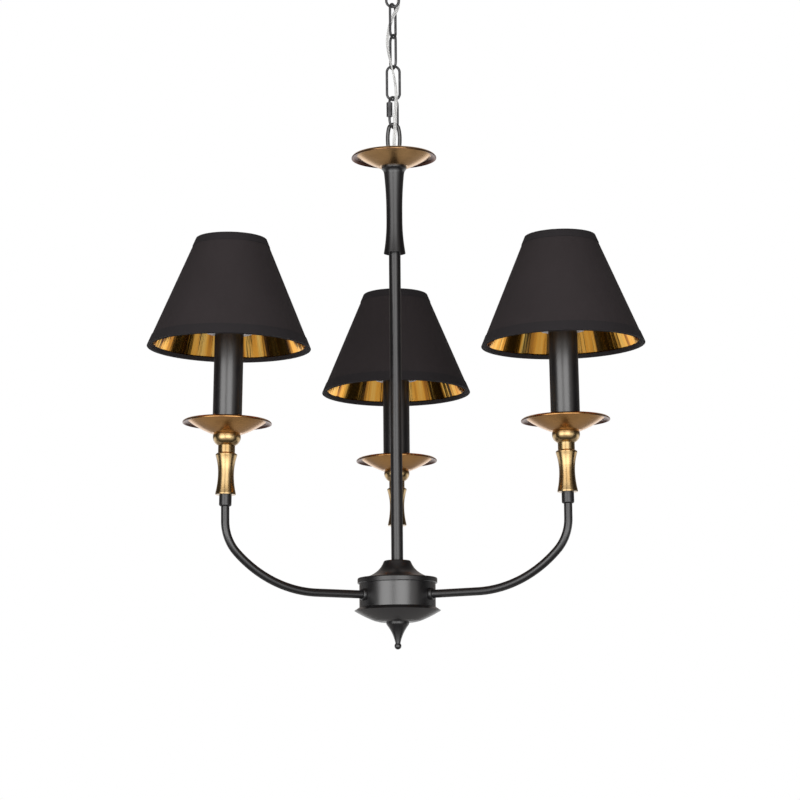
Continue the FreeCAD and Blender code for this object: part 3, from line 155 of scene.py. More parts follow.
def set_surroundings():
    """Studio with a white backdrop, dark sides, two tall front lights and a pale floor."""
    world = bpy.data.worlds.new("studio")
    bpy.context.scene.world = world
    world.use_nodes = True
    tree = world.node_tree
    tree.nodes.clear()
    seen = tree.nodes.new("ShaderNodeBackground")
    seen.inputs["Color"].default_value = (*WHITE, 1.0)
    lit = tree.nodes.new("ShaderNodeBackground")
    place = tree.nodes.new("ShaderNodeTexCoord")
    parts = tree.nodes.new("ShaderNodeSeparateXYZ")
    tree.links.new(place.outputs["Generated"], parts.inputs["Vector"])
    across, back, up = parts.outputs
    angle = studio_maths(tree, "ARCTAN2", across, back)
    away = studio_maths(tree, "COSINE", angle)
    behind = studio_maths(tree, "MULTIPLY_ADD", away, 0.5, 0.5)
    level = studio_maths(tree, "MULTIPLY_ADD", up, HORIZON_STEEPNESS, 0.5)
    down = studio_maths(tree, "MULTIPLY", up, -1.0)
    tree.links.new(studio_levels(tree, down, STUDIO_DEPTH), lit.inputs["Strength"])
    both = tree.nodes.new("ShaderNodeMix")
    both.data_type = "RGBA"
    tree.links.new(level, both.inputs["Factor"])
    tree.links.new(studio_levels(tree, behind, STUDIO_BELOW), both.inputs["A"])
    tree.links.new(studio_levels(tree, behind, STUDIO_ABOVE, WARM_CEILING), both.inputs["B"])
    tree.links.new(both.outputs["Result"], lit.inputs["Color"])
    # The camera sees the white backdrop, straight or through the clear cord
    rays = tree.nodes.new("ShaderNodeLightPath").outputs
    clear = studio_maths(tree, "MAXIMUM", rays["Is Camera Ray"], rays["Is Transmission Ray"])
    mix = tree.nodes.new("ShaderNodeMixShader")
    out = tree.nodes.new("ShaderNodeOutputWorld")
    tree.links.new(clear, mix.inputs["Fac"])
    tree.links.new(lit.outputs["Background"], mix.inputs[1])
    tree.links.new(seen.outputs["Background"], mix.inputs[2])
    tree.links.new(mix.outputs["Shader"], out.inputs["Surface"])
    for name, spot, width, height, power in FRONT_BOXES:
        soft_box(name, spot, LAMP_CENTRE, width, height, power)
    bpy.ops.mesh.primitive_grid_add(x_subdivisions=4, y_subdivisions=4, size=FLOOR_SIZE)
    floor = bpy.context.object
    floor.name = "floor"
    floor.data.transform(Matrix.Translation(FLOOR_PLACE))
    glow = {"Emission_Color": (*WHITE, 1.0), "Emission_Strength": FLOOR_GLOW}
    floor.data.materials.append(Finish("floor_paint").plain((0.8, 0.8, 0.8), 0.7, **glow))
    bpy.context.scene.view_settings.view_transform = "Standard"


# Shader maths as expressions
class Wire:
    """One output of a finish's nodes; sums and products add Math nodes."""

    def __init__(self, finish, socket):
        self.finish = finish
        self.socket = socket

    def maths(self, operation, *terms):
        values = dict(enumerate(terms))
        return self.finish.node("ShaderNodeMath", {"operation": operation}, values)["Value"]

    def __add__(self, other):
        return self.maths("ADD", self, other)

    __radd__ = __add__

    def __sub__(self, other):
        return self.maths("SUBTRACT", self, other)

    def __rsub__(self, other):
        return self.maths("SUBTRACT", other, self)

    def __mul__(self, other):
        return self.maths("MULTIPLY", self, other)

    def least(self, other):
        return self.maths("MINIMUM", self, other)

    def most(self, other):
        return self.maths("MAXIMUM", self, other)

    def sine(self):
        return self.maths("SINE", self)

    def angle_to(self, other):
        return self.maths("ARCTAN2", self, other)

    def root(self):
        return self.maths("SQRT", self)


class Finish:
    """One material made of nodes, named for the finish it gives."""

    def __init__(self, name):
        self.material = bpy.data.materials.new(name)
        self.material.use_nodes = True
        self.tree = self.material.node_tree
        self.tree.nodes.clear()
        self.place = self.node("ShaderNodeTexCoord")["Object"]

    def node(self, kind, settings=(), values=()):
        """Adds a node, sets its settings, then fills or links its sockets; gives its outputs."""
        made = self.tree.nodes.new(kind)
        for name, value in dict(settings).items():
            if name == "stops":
                first, *middle, last = value
                ends = made.color_ramp.elements
                ends[0].position, ends[0].color = first[0], (*first[1], 1.0)
                ends[1].position, ends[1].color = last[0], (*last[1], 1.0)
                for position, colour in middle:
                    ends.new(position).color = (*colour, 1.0)
            else:
                setattr(made, name, value)
        named = {socket.name: socket for socket in reversed(made.inputs) if socket.enabled}
        for name, value in dict(values).items():
            socket = made.inputs[name] if isinstance(name, int) else named[name]
            if isinstance(value, Wire):
                self.tree.links.new(value.socket, socket)
            else:
                socket.default_value = value
        return {out.name: Wire(self, out) for out in made.outputs if out.enabled}

    def noise(self, scale, stretch=(1.0, 1.0, 1.0), detail=3.0, where=None):
        """Cloudy noise from 0 to 1, its place stretched along the axes."""
        values = {"Vector": where or self.place, "Scale": stretch}
        placed = self.node("ShaderNodeMapping", {}, values)["Vector"]
        values = {"Vector": placed, "Scale": scale, "Detail": detail}
        return self.node("ShaderNodeTexNoise", {}, values)["Fac"]

    def ramp(self, amount, stops):
        """Colours along a number from 0 to 1."""
        return self.node("ShaderNodeValToRGB", {"stops": stops}, {"Fac": amount})["Color"]

    def blend(self, amount, first, second):
        """Mix of two colours."""
        values = {"Factor": amount}
        for name, colour in (("A", first), ("B", second)):
            values[name] = colour if isinstance(colour, Wire) else (*colour, 1.0)
        return self.node("ShaderNodeMix", {"data_type": "RGBA"}, values)["Result"]

    def bump(self, height, depth, below=None):
        """Relief of a given depth in metres."""
        values = {"Height": height, "Distance": depth, "Strength": 1.0}
        if below:
            values["Normal"] = below
        return self.node("ShaderNodeBump", {}, values)["Normal"]

    def axis_parts(self, matrix):
        """Distance from a piece's own axis, turn round it and height along it."""
        back = matrix.inverted()
        values = {"Vector": self.place, "Location": back.translation, "Rotation": back.to_euler()}
        moved = self.node("ShaderNodeMapping", {}, values)["Vector"]
        parts = self.node("ShaderNodeSeparateXYZ", {}, {"Vector": moved})
        across, along, height = parts["X"], parts["Y"], parts["Z"]
        return (across * across + along * along).root(), along.angle_to(across), height

    def point(self, first, second, third=0.0):
        """A vector from three numbers."""
        values = {"X": first, "Y": second, "Z": third}
        return self.node("ShaderNodeCombineXYZ", {}, values)["Vector"]

    def cloth_parts(self):
        """Place round the shade and up it, in metres, from the piece's own cloth map."""
        cloth = self.node("ShaderNodeUVMap", {"uv_map": "cloth"})["UV"]
        parts = self.node("ShaderNodeSeparateXYZ", {}, {"Vector": cloth})
        return parts["X"], parts["Y"]

    def cloth_noise(self, across, along, layer=0.0, detail=3.0):
        """Cloudy noise at two places on the cloth map, each times its own density."""
        return self.noise(1.0, detail=detail, where=self.point(across, along, layer))

    def plain(self, colour, roughness, metallic=0.0, normal=None, **more):
        """Closes the finish with one principled surface."""
        values = {
            "Base Color": colour if isinstance(colour, Wire) else (*colour, 1.0),
            "Roughness": roughness,
            "Metallic": metallic,
        }
        if normal:
            values["Normal"] = normal
        values.update({name.replace("_", " "): value for name, value in more.items()})
        shader = self.node("ShaderNodeBsdfPrincipled", {}, values)["BSDF"]
        self.node("ShaderNodeOutputMaterial", {}, {"Surface": shader})
        return self.material


# Finishes: each metal or cloth has a lighter and a darker end
SATIN_BLACK = (0.0095, 0.0088, 0.0096)
LACQUER_BLACK = (0.0062, 0.0056, 0.0064)
GLOSS_BLACK = (0.012, 0.012, 0.0122)
SCREW_BRASS = ((0.8, 0.6, 0.28), (0.5, 0.34, 0.14))
CROWN_COPPER = ((0.72, 0.42, 0.165), (0.47, 0.25, 0.085))
SAUCER_COPPER = ((0.7, 0.37, 0.115), (0.47, 0.225, 0.06))
VASE_BRASS = ((0.56, 0.385, 0.175), (0.44, 0.265, 0.09))
SHADE_CLOTH = ((0.051, 0.0425, 0.0445), (0.03, 0.0245, 0.026))
TRIM_CLOTH = ((0.04, 0.0358, 0.0388), (0.024, 0.0213, 0.0232))
RUBBED_STEEL = [
    (0.3, (0.055, 0.055, 0.057)),
    (0.65, (0.11, 0.11, 0.114)),
    (0.85, (0.24, 0.24, 0.24)),
]
# Gold of the foil from dark to bright along its streaks: painted reflection bands
FOIL_GOLD_BANDS = [
    (0.34, (0.42, 0.15, 0.015)),
    (0.47, (0.88, 0.4, 0.045)),
    (0.68, (1.0, 0.65, 0.17)),
]


def powder_coat(name, colour, roughness, shine, density):
    """Satin powder coat with a fine orange-peel skin."""
    finish = Finish(name)
    peel = finish.noise(900.0, detail=2.0)
    cloud = finish.noise(28.0, detail=3.0)
    tone = finish.ramp(cloud, shades_of(colour, 0.85, 1.15))
    gloss = roughness + (cloud - 0.5) * 0.1 + (peel - 0.5) * 0.05
    skin = finish.bump(peel, 0.02 * MM)
    return finish.plain(tone, gloss, normal=skin, Specular_IOR_Level=shine, IOR=density)


def shades_of(colour, darker, lighter):
    """Two stops of one colour, made darker and lighter."""
    return [
        (0.3, [part * darker for part in colour]),
        (0.7, [min(1.0, part * lighter) for part in colour]),
    ]


def chain_metal():
    """Dark gunmetal of the chain, lighter where the links have rubbed."""
    finish = Finish("chain_gunmetal")
    cloud = finish.noise(160.0, detail=4.0)
    grain = finish.noise(1500.0, stretch=(1.0, 1.0, 0.2), detail=2.0)
    tone = finish.ramp(cloud, RUBBED_STEEL)
    return finish.plain(tone, 0.36 + (cloud - 0.5) * 0.2, 0.55, finish.bump(grain, 0.02 * MM))


# Painted shade under the saucers' curled edge, where the curl hides the lights: how far out and
# how high the curl's centre is on a drip saucer and on the crown dish, its radius, and where the
# painted shade starts
SAUCER_CURL = (39.65 * MM, 6.76 * MM)
DISH_CURL = (39.21 * MM, 6.46 * MM)
CURL_RADIUS = 5.2 * MM
CURL_SHADOW_START = 37.4 * MM
# The painted shade is full up to 0.16 mm outside the curl's radius and gone 0.4 mm further
CURL_SHADOW_FADE = -2500.0
CURL_SHADOW_REACH = 1.4
CURL_SHADOW_RISE = 900.0
# Lathe lines to the metre
LATHE_LINES = 2600.0


def turned_brass(name, matrix, tones, roughness, curl=None):
    """Antique brass with a cloudy patina, fine lathe lines round the piece's own axis and painted
    shade under a curled edge.
    """
    finish = Finish(name)
    light, dark = tones
    out, turn, height = finish.axis_parts(matrix)
    rings = finish.point(out * LATHE_LINES, height * LATHE_LINES, turn * 0.6)
    lathe = finish.noise(1.0, detail=4.0, where=rings)
    patina = finish.noise(55.0, detail=5.0)
    fine = finish.noise(420.0, detail=3.0)
    amount = patina * 0.6 + lathe * 0.3 + fine * 0.1
    brightest = [min(1.0, part * 1.1) for part in light]
    tone = finish.ramp(amount, [(0.3, dark), (0.5, light), (0.75, brightest)])
    coat = 0.5
    if curl:
        across = out - curl[0]
        above = height - curl[1]
        past = (across * across + above * above).root() - CURL_RADIUS
        under = past * CURL_SHADOW_FADE + CURL_SHADOW_REACH
        # Painted shade under the curl: a darker colour and a thinner coat there
        curl_shadow = under.least((out - CURL_SHADOW_START) * CURL_SHADOW_RISE).least(1.0).most(0.0)
        tone = finish.blend(curl_shadow, tone, [dark[0] * 0.26, dark[1] * 0.2, dark[2] * 0.4])
        coat = 0.5 - curl_shadow * 0.4
    gloss = roughness + (patina - 0.5) * 0.1 + (lathe - 0.5) * 0.05
    relief = finish.bump(lathe, 0.008 * MM)
    return finish.plain(tone, gloss, 1.0, relief, Coat_Weight=coat, Coat_Roughness=0.25)


def zinc_plate():
    """Zinc-plated steel with faint drawing lines."""
    finish = Finish("bright_zinc")
    cloud = finish.noise(220.0, detail=4.0)
    lines = finish.noise(1200.0, stretch=(1.0, 1.0, 0.08), detail=2.0)
    tone = finish.ramp(cloud, [(0.3, (0.5, 0.5, 0.52)), (0.7, (0.72, 0.72, 0.73))])
    return finish.plain(tone, 0.3 + lines * 0.15, 1.0, finish.bump(lines, 0.01 * MM))


def moulded(name, colour, roughness):
    """Moulded plastic with a faint grain."""
    finish = Finish(name)
    grain = finish.noise(1400.0, detail=2.0)
    cloud = finish.noise(60.0, detail=2.0)
    tone = finish.ramp(cloud, shades_of(colour, 0.9, 1.05))
    relief = finish.bump(grain, 0.01 * MM)
    return finish.plain(tone, roughness + (grain - 0.5) * 0.1, normal=relief)


def clear_flex():
    """Pale see-through insulation of the twisted cord."""
    finish = Finish("clear_flex")
    cloud = finish.noise(300.0, detail=2.0)
    tone = finish.ramp(cloud, [(0.3, (0.84, 0.84, 0.83)), (0.7, (0.93, 0.93, 0.92))])
    return finish.plain(tone, 0.14 + cloud * 0.06, Transmission_Weight=0.5, IOR=1.46)


def woven(name, tones, thread, slub):
    """Plain weave on the piece's own cloth map: crossing threads with uneven yarn."""
    finish = Finish(name)
    light, dark = tones
    round_shade, up_shade = finish.cloth_parts()
    warp = (round_shade * (TURN / thread)).sine()
    weft = (up_shade * (TURN / thread)).sine()
    weave = warp * weft * 0.5 + 0.5
    yarn = finish.cloth_noise(round_shade * 900.0, up_shade * 60.0)
    pick = finish.cloth_noise(round_shade * 60.0, up_shade * 900.0, 7.0)
    cloud = finish.cloth_noise(round_shade * 26.0, up_shade * 26.0, 3.0, detail=4.0)
    amount = weave * 0.3 + (yarn + pick) * (0.25 * slub) + cloud * 0.25
    tone = finish.ramp(amount, [(0.2, dark), (0.75, light)])
    relief = finish.bump(weave + yarn * slub + pick * slub, 0.12 * MM)
    relief = finish.bump(cloud, 0.6 * MM, relief)
    gloss = 0.82 + (cloud - 0.5) * 0.15
    return finish.plain(tone, gloss, normal=relief, Specular_IOR_Level=0.2)


def gold_foil():
    """Laminated gold foil, mirror-bright, rippled round the shade, with painted reflection bands
    along its streaks.
    """
    finish = Finish("gold_foil")
    round_shade, up_shade = finish.cloth_parts()
    wave = finish.cloth_noise(round_shade * 24.0, up_shade * 2.0, detail=1.0)
    streak = finish.cloth_noise(round_shade * 130.0, up_shade * 5.0, 4.0)
    crinkle = finish.cloth_noise(round_shade * 500.0, up_shade * 200.0, 9.0, detail=2.0)
    # The streaks darken and lighten the foil's colour: painted reflection bands, over the real
    # ripples in its relief
    tone = finish.ramp(streak, FOIL_GOLD_BANDS)
    relief = finish.bump(wave, 6.0 * MM)
    relief = finish.bump(streak, 0.7 * MM, relief)
    relief = finish.bump(crinkle, 0.02 * MM, relief)
    gloss = 0.1 + crinkle * 0.08
    return finish.plain(tone, gloss, 1.0, relief, Coat_Weight=0.3, Coat_Roughness=0.1)


# Lamps: where each stands and how it leans, as in the part's source
LAMP_TURN = {"left": 210.0, "right": 330.0, "back": 90.0}
LAMP_LEAN = {"left": 1.4, "right": 0.8, "back": -1.6}
ARM_TOP = (0.19347139, -0.64498018)
SAUCER_RISE = 71.8 * MM
SHADE_RISE = 157.6 * MM
# The earth screw's distance from the middle of the bracket
EARTH_SCREW = 19.0 * MM


def lamp_matrix(side):
    """From a lamp's own axes, its foot at the top of the arm, to the frame."""
    turn = Matrix.Rotation(math.radians(LAMP_TURN[side]), 4, "Z")
    foot = Matrix.Translation((ARM_TOP[0], 0.0, ARM_TOP[1]))
    lean = Matrix.Rotation(-math.radians(LAMP_LEAN[side]), 4, "Y")
    return turn @ foot @ lean


# Supply cord: the route's points as in the part's source, two strands twisted together
CORD_ROUTE = [
    (0.0, 0.0, -0.001),
    (0.0, 0.0, -0.046),
    (0.0007, 0.0006, -0.056),
    (0.0026, 0.0022, -0.065),
    (0.0046, 0.004, -0.074),
    (0.0057, 0.0052, -0.084),
    (0.0061, 0.0055, -0.0945),
    (0.006, 0.0047, -0.1035),
    (0.0056, 0.003, -0.111),
    (0.0024, 0.0012, -0.117),
    (-0.001, 0.0005, -0.1235),
    (-0.0034, 0.0, -0.132),
    (-0.0052, -0.0004, -0.1415),
    (-0.006, -0.0008, -0.1505),
    (-0.005, -0.0019, -0.1595),
    (-0.0035, -0.0038, -0.1675),
    (-0.0019, -0.0052, -0.1755),
    (0.0002, -0.0057, -0.184),
    (0.0018, -0.0054, -0.193),
    (0.0028, -0.0048, -0.202),
    (0.0029, -0.0047, -0.211),
    (0.0023, -0.0046, -0.22),
    (0.0015, -0.0049, -0.229),
    (0.0015, -0.0048, -0.238),
    (0.0012, -0.0035, -0.246),
    (0.0005, -0.0014, -0.254),
    (0.0, 0.0, -0.263),
    (0.0, 0.0, -0.279),
]
# Width over both strands, one strand, the length of a full twist, its start and the mesh's step
STRAND_RADIUS = 0.9 * MM
STRAND_SIDES = 10
TWIST_PITCH = 232.0 * MM
TWIST_START = -0.534 * TURN
CORD_STEP = 0.7 * MM
# Each stretch of cord crosses one hinge and ends at the middle of a link: its highest and
# lowest point, the bodies above and below, and the heights between which it bends
CORD_STRETCHES = [
    (-0.001, -0.0946, "ceiling", "chain_link_1_body", -0.062, -0.0946),
    (-0.0946, -0.1276, "chain_link_1_body", "chain_link_2_body", -0.0946, -0.1276),
    (-0.1276, -0.161, "chain_link_2_body", "chain_link_3_body", -0.1276, -0.161),
    (-0.161, -0.1943, "chain_link_3_body", "chain_link_4_body", -0.161, -0.1943),
    (-0.1943, -0.226, "chain_link_4_body", "quick_link_body", -0.1943, -0.226),
    (-0.226, -0.279, "quick_link_body", "fixture", -0.226, -0.256),
]


def cord_line():
    """Points along the cord's own NURBS spline."""
    curve = bpy.data.curves.new("supply_line", "CURVE")
    curve.dimensions = "3D"
    spline = curve.splines.new("NURBS")
    spline.points.add(len(CORD_ROUTE) - 1)
    for point, place in zip(spline.points, CORD_ROUTE):
        point.co = (*place, 1.0)
    spline.order_u = 3
    spline.use_endpoint_u = True
    spline.resolution_u = 24
    line = bpy.data.objects.new("supply_line", curve)
    bpy.context.scene.collection.objects.link(line)
    bpy.context.view_layer.update()
    mesh = bpy.data.meshes.new_from_object(line)
    points = [vertex.co.copy() for vertex in mesh.vertices]
    bpy.data.objects.remove(line)
    bpy.data.meshes.remove(mesh)
    return points


def even_steps(points, step):
    """The same line with points a constant step apart, and their distance along it."""
    even = [points[0]]
    travelled = 0.0
    wanted = step
    for start, end in zip(points, points[1:]):
        run = (end - start).length
        while run > 0.0 and wanted <= travelled + run:
            even.append(start.lerp(end, (wanted - travelled) / run))
            wanted += step
        travelled += run
    even.append(points[-1])
    return even


def strand_rings(points, phase):
    """Rings of one strand that winds round the line."""
    normal = Vector((1.0, 0.0, 0.0))
    rings = []
    centres = []
    normals = []
    for index, point in enumerate(points):
        before = points[max(index - 1, 0)]
        after = points[min(index + 1, len(points) - 1)]
        ahead = (after - before).normalized()
        normal = (normal - ahead * normal.dot(ahead)).normalized()
        turn = phase + TURN * index * CORD_STEP / TWIST_PITCH
        side = normal * math.cos(turn) + ahead.cross(normal) * math.sin(turn)
        centres.append(point + side * STRAND_RADIUS)
        normals.append(side)
    for index, centre in enumerate(centres):
        before = centres[max(index - 1, 0)]
        after = centres[min(index + 1, len(centres) - 1)]
        ahead = (after - before).normalized()
        side = (normals[index] - ahead * normals[index].dot(ahead)).normalized()
        other = ahead.cross(side)
        ring = []
        for number in range(STRAND_SIDES):
            angle = TURN * number / STRAND_SIDES
            spoke = side * math.cos(angle) + other * math.sin(angle)
            ring.append(centre + spoke * STRAND_RADIUS)
        rings.append(ring)
    return rings


def tube_faces(first, rings):
    """Faces of a closed tube whose vertices start at a given number."""
    faces = [tuple(first + number for number in reversed(range(STRAND_SIDES)))]
    for ring in range(rings - 1):
        low = first + ring * STRAND_SIDES
        high = low + STRAND_SIDES
        for number in range(STRAND_SIDES):
            after = (number + 1) % STRAND_SIDES
            faces.append((low + number, low + after, high + after, high + number))
    last = first + (rings - 1) * STRAND_SIDES
    faces.append(tuple(last + number for number in range(STRAND_SIDES)))
    return faces


def make_cord(finish):
    """Six stretches of the twisted cord, one across each hinge of the chain."""
    points = even_steps(cord_line(), CORD_STEP)
    strands = [strand_rings(points, phase) for phase in (TWIST_START, TWIST_START + math.pi)]
    for number, (high, low, above, below, start, end) in enumerate(CORD_STRETCHES, 1):
        lowest, highest = low - CORD_STEP, high + CORD_STEP / 2
        kept = [index for index, point in enumerate(points) if lowest <= point.z <= highest]
        first, last = kept[0], kept[-1]
        corners = []
        faces = []
        for rings in strands:
            stretch = rings[first : last + 1]
            faces += tube_faces(len(corners), len(stretch))
            corners += [corner for ring in stretch for corner in ring]
        mesh = bpy.data.meshes.new(f"supply_cord_{number}")
        mesh.from_pydata(corners, [], faces)
        mesh.shade_smooth()
        piece = bpy.data.objects.new(f"supply_cord_{number}", mesh)
        bpy.context.scene.collection.objects.link(piece)
        mesh.materials.append(finish)
        line = points[first : last + 1]
        length = sum((b - a).length for a, b in zip(line, line[1:]))
        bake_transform(piece)
        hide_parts("supply_cord")
        print("cord stretch", number, round(length, 4))


# Shades: the outside's radius below and above, and its height
SHADE_RADIUS = 81.0 * MM
SHADE_TOP_RADIUS = 35.2 * MM
SHADE_HEIGHT = 109.6 * MM
SHADE_SIDES = 128
WALL_RINGS = 22
# Thickness of each layer from outside in, the frame wire's radius and the gap between layers
TAPE = 0.3 * MM
COVER = 0.8 * MM
FOIL = 0.4 * MM
WIRE = 1.0 * MM
LAYER_GAP = 0.15 * MM
# How far inside the shade's outside each layer starts
COVER_INSET = TAPE + LAYER_GAP
LINING_INSET = COVER_INSET + COVER + LAYER_GAP
FRAME_INSET = LINING_INSET + FOIL + LAYER_GAP
FOLD_INSET = FRAME_INSET + 2 * WIRE + LAYER_GAP
# The tape's height outside below and above, and inside below
TRIM_BOTTOM = 10.0 * MM
TRIM_TOP = 8.0 * MM
TRIM_FOLD = 3.4 * MM
# Where the cover and the lining end inside the folded tape
LOW_EDGE = TAPE + LAYER_GAP
HIGH_EDGE = SHADE_HEIGHT - TAPE - LAYER_GAP
LEVEL_TOLERANCE = 0.02 * MM
SMOOTH_ANGLE = math.radians(40.0)


def flare(inset, rise):
    """Radius of the shade's wall at a height above its lower edge."""
    return SHADE_RADIUS - inset - (SHADE_RADIUS - SHADE_TOP_RADIUS) / SHADE_HEIGHT * rise


def edit(piece, mode="VERT"):
    """Opens a piece for editing with nothing selected."""
    bpy.ops.object.select_all(action="DESELECT")
    piece.select_set(True)
    bpy.context.view_layer.objects.active = piece
    bpy.ops.object.mode_set(mode="EDIT")
    bpy.ops.mesh.select_mode(type=mode)
    bpy.ops.mesh.select_all(action="DESELECT")
    bpy.ops.object.mode_set(mode="OBJECT")


def pick_level(piece, height):
    """Selects the ring of vertices at a height and returns to edit mode."""
    for vertex in piece.data.vertices:
        vertex.select = abs(vertex.co.z - height) < LEVEL_TOLERANCE
    bpy.ops.object.mode_set(mode="EDIT")


def band(name, inset, low, high, rings):
    """A sloping band of the shade's wall, cut by rings from one height to another."""
    bpy.ops.object.select_all(action="DESELECT")
    bpy.ops.mesh.primitive_cone_add(
        vertices=SHADE_SIDES,
        radius1=flare(inset, low),
        radius2=flare(inset, high),
        depth=high - low,
        end_fill_type="NOTHING",
    )
    piece = bpy.context.object
    piece.name = name
    piece.data.name = name
    piece.data.transform(Matrix.Translation((0.0, 0.0, (low + high) / 2)))
    edit(piece, "EDGE")
    for edge in piece.data.edges:
        first, second = (piece.data.vertices[index].co.z for index in edge.vertices)
        edge.select = abs(first - second) > MM
    bpy.ops.object.mode_set(mode="EDIT")
    bpy.ops.mesh.subdivide(number_cuts=rings)
    bpy.ops.object.mode_set(mode="OBJECT")
    return piece


def pull_edge(piece, height, steps):
    """Extrudes the ring at a height through steps of (radius, height)."""
    edit(piece)
    for radius, rise in steps:
        pick_level(piece, height)
        bpy.ops.mesh.extrude_region_move()
        bpy.ops.object.mode_set(mode="OBJECT")
        for vertex in piece.data.vertices:
            if vertex.select:
                flat = Vector((vertex.co.x, vertex.co.y)).normalized() * radius
                vertex.co = (flat.x, flat.y, rise)
        height = rise


def map_cloth(piece):
    """Cloth map in metres: round the shade, as long as at half its height, and up it."""
    layer = piece.data.uv_layers.get("cloth") or piece.data.uv_layers.new(name="cloth")
    middle = flare(0.0, SHADE_HEIGHT / 2)
    for polygon in piece.data.polygons:
        centre = polygon.center
        facing = math.atan2(centre.y, centre.x)
        for loop in polygon.loop_indices:
            corner = piece.data.vertices[piece.data.loops[loop].vertex_index].co
            angle = math.atan2(corner.y, corner.x)
            angle = facing + (angle - facing + math.pi) % TURN - math.pi
            layer.data[loop].uv = (angle * middle, corner.z)
    for other in [uv for uv in piece.data.uv_layers if uv.name != "cloth"]:
        piece.data.uv_layers.remove(other)


def thicken(piece, thickness, offset):
    """Gives a sheet its thickness and applies it."""
    bpy.context.view_layer.objects.active = piece
    solid = piece.modifiers.new("thickness", "SOLIDIFY")
    solid.thickness = thickness
    solid.offset = offset
    solid.use_even_offset = True
    bpy.ops.object.modifier_apply(modifier=solid.name)


def settle(piece, side, finish, node):
    """Puts a finished piece in its lamp's place and on the fixture, standing for its CAD node."""
    piece.data.transform(lamp_matrix(side) @ Matrix.Translation((0.0, 0.0, SHADE_RISE)))
    piece.data.materials.append(finish)
    bpy.ops.object.select_all(action="DESELECT")
    piece.select_set(True)
    bpy.context.view_layer.objects.active = piece
    bpy.ops.object.shade_smooth_by_angle(angle=SMOOTH_ANGLE)
    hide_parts(node)
    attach(piece, "fixture")


def declare_sheet(piece, inset, low, high):
    wide, narrow = flare(inset, low), flare(inset, high)
    slope = math.hypot(high - low, wide - narrow)
    outer = slope * wide / (wide - narrow)
    inner = outer - slope
    half = math.pi * wide / outer
    if half < math.pi / 2:
        width = 2 * outer * math.sin(half)
        length = outer - inner * math.cos(half)
    else:
        width = 2 * outer
        length = outer - outer * math.cos(half)
    area = math.pi * (wide + narrow) * slope
    print(piece.name, "blank", round(width, 4), round(length, 4), "area", round(area, 5))


def make_shade(side, finishes):
    """Fabric cover, foil lining and folded trims of one shade."""
    cover = band(f"fabric_{side}", COVER_INSET, LOW_EDGE, HIGH_EDGE, WALL_RINGS)
    map_cloth(cover)
    thicken(cover, COVER, -1.0)
    settle(cover, side, finishes["fabric"], f"shade_cover_{side}")
    declare_sheet(cover, COVER_INSET, LOW_EDGE, HIGH_EDGE)
    lining = band(f"foil_{side}", LINING_INSET, LOW_EDGE, HIGH_EDGE, WALL_RINGS)
    map_cloth(lining)
    thicken(lining, FOIL, -1.0)
    settle(lining, side, finishes["foil"], f"shade_lining_{side}")
    lower = band(f"trim_lower_{side}", 0.0, TAPE / 2, TRIM_BOTTOM, 3)
    pull_edge(
        lower,
        TAPE / 2,
        [
            (flare(TAPE / 2, 0.0), 0.0),
            (flare(FOLD_INSET + TAPE / 2, 0.0), 0.0),
            (flare(FOLD_INSET + TAPE, 0.0), TAPE / 2),
            (flare(FOLD_INSET + TAPE, TRIM_FOLD), TRIM_FOLD),
        ],
    )
    top = SHADE_HEIGHT - TAPE / 2
    upper = band(f"trim_upper_{side}", 0.0, SHADE_HEIGHT - TRIM_TOP, top, 2)
    pull_edge(
        upper,
        top,
        [
            (flare(TAPE / 2, SHADE_HEIGHT), SHADE_HEIGHT),
            (flare(FOLD_INSET, SHADE_HEIGHT), SHADE_HEIGHT),
        ],
    )
    for trim in (lower, upper):
        map_cloth(trim)
        edit(trim)
        bpy.ops.object.mode_set(mode="EDIT")
        bpy.ops.mesh.select_all(action="SELECT")
        bpy.ops.mesh.normals_make_consistent(inside=False)
        bpy.ops.object.mode_set(mode="OBJECT")
        thicken(trim, TAPE, -1.0)
        settle(trim, side, finishes["trim"], f"shade_trim_{side}")


# Making
set_camera()
make_cord(clear_flex())
set_surroundings()

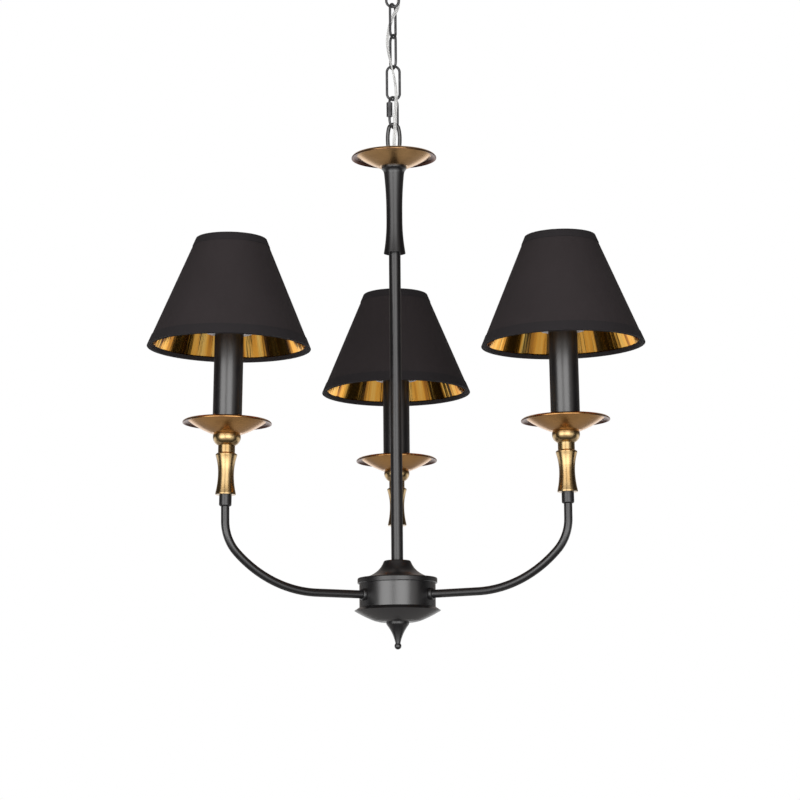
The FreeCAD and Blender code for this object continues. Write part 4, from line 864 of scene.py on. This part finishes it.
cloths = {
    "fabric": woven("shade_fabric", SHADE_CLOTH, 0.7 * MM, 0.5),
    "trim": woven("trim_tape", TRIM_CLOTH, 0.9 * MM, 0.3),
    "foil": gold_foil(),
}
for side in LAMP_TURN:
    make_shade(side, cloths)

satin = powder_coat("black_satin", SATIN_BLACK, 0.33, 0.42, 1.9)
lacquer = powder_coat("black_lacquer", LACQUER_BLACK, 0.3, 0.56, 2.0)
gloss = powder_coat("black_gloss", GLOSS_BLACK, 0.2, 0.5, 2.0)
dish_seat = Matrix.Translation((0.0, 0.0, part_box("crown_dish")[0].z))
screw_seat = Matrix.Translation((EARTH_SCREW, 0.0, 0.0))
# Finish of each material slot; the nodes in the last four slots are replaced and hidden
coats = {
    "black_steel": satin,
    "gunmetal": chain_metal(),
    "zinc": zinc_plate(),
    "plain_brass": turned_brass("screw_brass", screw_seat, SCREW_BRASS, 0.25),
    "wire_plastic": moulded("wire_plastic", (0.6, 0.6, 0.57), 0.45),
    "black_plastic": moulded("black_plastic", (0.02, 0.02, 0.02), 0.4),
    "white_plastic": moulded("white_plastic", (0.75, 0.75, 0.72), 0.4),
    "antique_brass": turned_brass("dish_copper", dish_seat, CROWN_COPPER, 0.26, DISH_CURL),
    "clear_cord": satin,
    "black_fabric": satin,
    "black_trim": satin,
    "gold_foil": satin,
}
# Nodes whose finish differs from their slot's
special = {"hang_loop": gloss, "canopy_loop": gloss, "hub_body": lacquer, "canopy": lacquer}
for side in LAMP_TURN:
    lamp = lamp_matrix(side)
    seat = lamp @ Matrix.Translation((0.0, 0.0, SAUCER_RISE))
    special[f"candle_sleeve_{side}"] = lacquer
    special[f"drip_saucer_{side}"] = turned_brass(
        f"saucer_copper_{side}", seat, SAUCER_COPPER, 0.26, SAUCER_CURL
    )
    special[f"vase_{side}"] = turned_brass(f"vase_brass_{side}", lamp, VASE_BRASS, 0.28)
for entry in frame["record"]["subparts"]:
    node = nodes[entry["node"]]
    node.data.materials.clear()
    node.data.materials.append(special.get(entry["node"], coats[entry["material_slot"]]))
